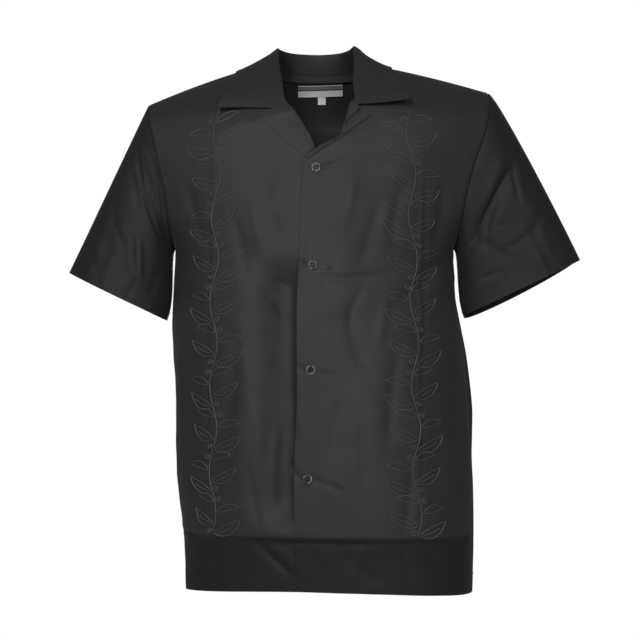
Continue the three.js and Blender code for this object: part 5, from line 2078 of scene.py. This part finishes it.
class SHIRT_OT_stage(bpy.types.Operator):
    """Set the camera, soft lights, white room and pale floor"""

    bl_idname = "shirt.stage"
    bl_label = "Stage"

    def execute(self, context):
        stage = context.scene.shirt_stage
        camera = bpy.data.cameras.new("camera")
        camera.lens = camera.sensor_width * stage.camera_distance / stage.frame_width
        holder = bpy.data.objects.new("camera", camera)
        context.scene.collection.objects.link(holder)
        holder.location = (CAMERA_X, -stage.camera_distance, stage.camera_height)
        holder.rotation_euler = (math.radians(90), 0, 0)
        context.scene.camera = holder

        for name, box in SOFTBOXES.items():
            area_light(f"{name}_softbox", *box, getattr(stage, f"{name}_power"))

        world = bpy.data.worlds.new("white_room")
        context.scene.world = world
        world.use_nodes = True
        tree = world.node_tree
        room = tree.nodes["Background"]
        room.inputs["Color"].default_value = (1, 1, 1, 1)
        room.inputs["Strength"].default_value = stage.room_light
        seen = tree.nodes.new("ShaderNodeBackground")
        seen.inputs["Color"].default_value = (1, 1, 1, 1)
        mix = tree.nodes.new("ShaderNodeMixShader")
        path = tree.nodes.new("ShaderNodeLightPath")
        tree.links.new(path.outputs["Is Camera Ray"], mix.inputs["Fac"])
        tree.links.new(room.outputs["Background"], mix.inputs[1])
        tree.links.new(seen.outputs["Background"], mix.inputs[2])
        tree.links.new(mix.outputs["Shader"], tree.nodes["World Output"].inputs["Surface"])
        context.scene.view_settings.view_transform = "Standard"

        angle = np.linspace(0, 2 * np.pi, FLOOR_SAMPLES)
        radius = np.array([0.001, 0.35, 1.0]) * FLOOR_RADIUS / MM
        x, y = np.outer(radius, np.cos(angle)), np.outer(radius, np.sin(angle))
        points = xyz(x, y, FLOOR_Z / MM).reshape(-1, 3)
        index = np.arange(len(points)).reshape(x.shape)
        mesh = new_mesh("floor", points, grid_quads(index, turned=True))
        floor = bpy.data.objects.new("floor", mesh)
        context.scene.collection.objects.link(floor)
        material, tree, shader = principled("pale_floor", roughness=0.9, specular=0.2)
        coords = tree.nodes.new("ShaderNodeTexCoord")
        cloud = ramp(tree, add_noise(tree, coords.outputs["Object"], 1.5), 0.3, 0.7)
        tone = mix_colour(tree, cloud, (0.78, 0.78, 0.78), (0.82, 0.82, 0.82))
        tree.links.new(tone, shader.inputs["Base Color"])
        mesh.materials.append(material)
        return {"FINISHED"}


class SHIRT_PT_panel(bpy.types.Panel):
    """Lists the shirt's settings and pieces"""

    bl_idname = "SHIRT_PT_panel"
    bl_label = "Shirt"
    bl_space_type = "VIEW_3D"
    bl_region_type = "UI"
    bl_category = "Shirt"

    def draw(self, context):
        scene = context.scene
        for settings in (scene.shirt_cloth, scene.shirt_trim, scene.shirt_stage):
            box = self.layout.box()
            for name in settings.__annotations__:
                box.prop(settings, name)
        for operator in OPERATORS:
            self.layout.operator(operator.bl_idname)


OPERATORS = (
    SHIRT_OT_fronts,
    SHIRT_OT_back,
    SHIRT_OT_sleeves,
    SHIRT_OT_collar,
    SHIRT_OT_labels,
    SHIRT_OT_buttons,
    SHIRT_OT_embroidery,
    SHIRT_OT_stitching,
    SHIRT_OT_stage,
)
SETTINGS = {
    "shirt_cloth": ShirtClothSettings,
    "shirt_trim": ShirtTrimSettings,
    "shirt_stage": ShirtStageSettings,
}


def register():
    """Registers the classes and gives the scene its settings."""
    for cls in (*SETTINGS.values(), *OPERATORS, SHIRT_PT_panel):
        bpy.utils.register_class(cls)
    for name, cls in SETTINGS.items():
        setattr(bpy.types.Scene, name, bpy.props.PointerProperty(type=cls))


def unregister():
    """Takes all of that away again."""
    for name in SETTINGS:
        delattr(bpy.types.Scene, name)
    for cls in reversed((*SETTINGS.values(), *OPERATORS, SHIRT_PT_panel)):
        bpy.utils.unregister_class(cls)


def main():
    """Registers the add-on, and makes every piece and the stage."""
    register()
    for operator in OPERATORS:
        group, name = operator.bl_idname.split(".")
        getattr(getattr(bpy.ops, group), name)()


if __name__ == "__main__":
    main()
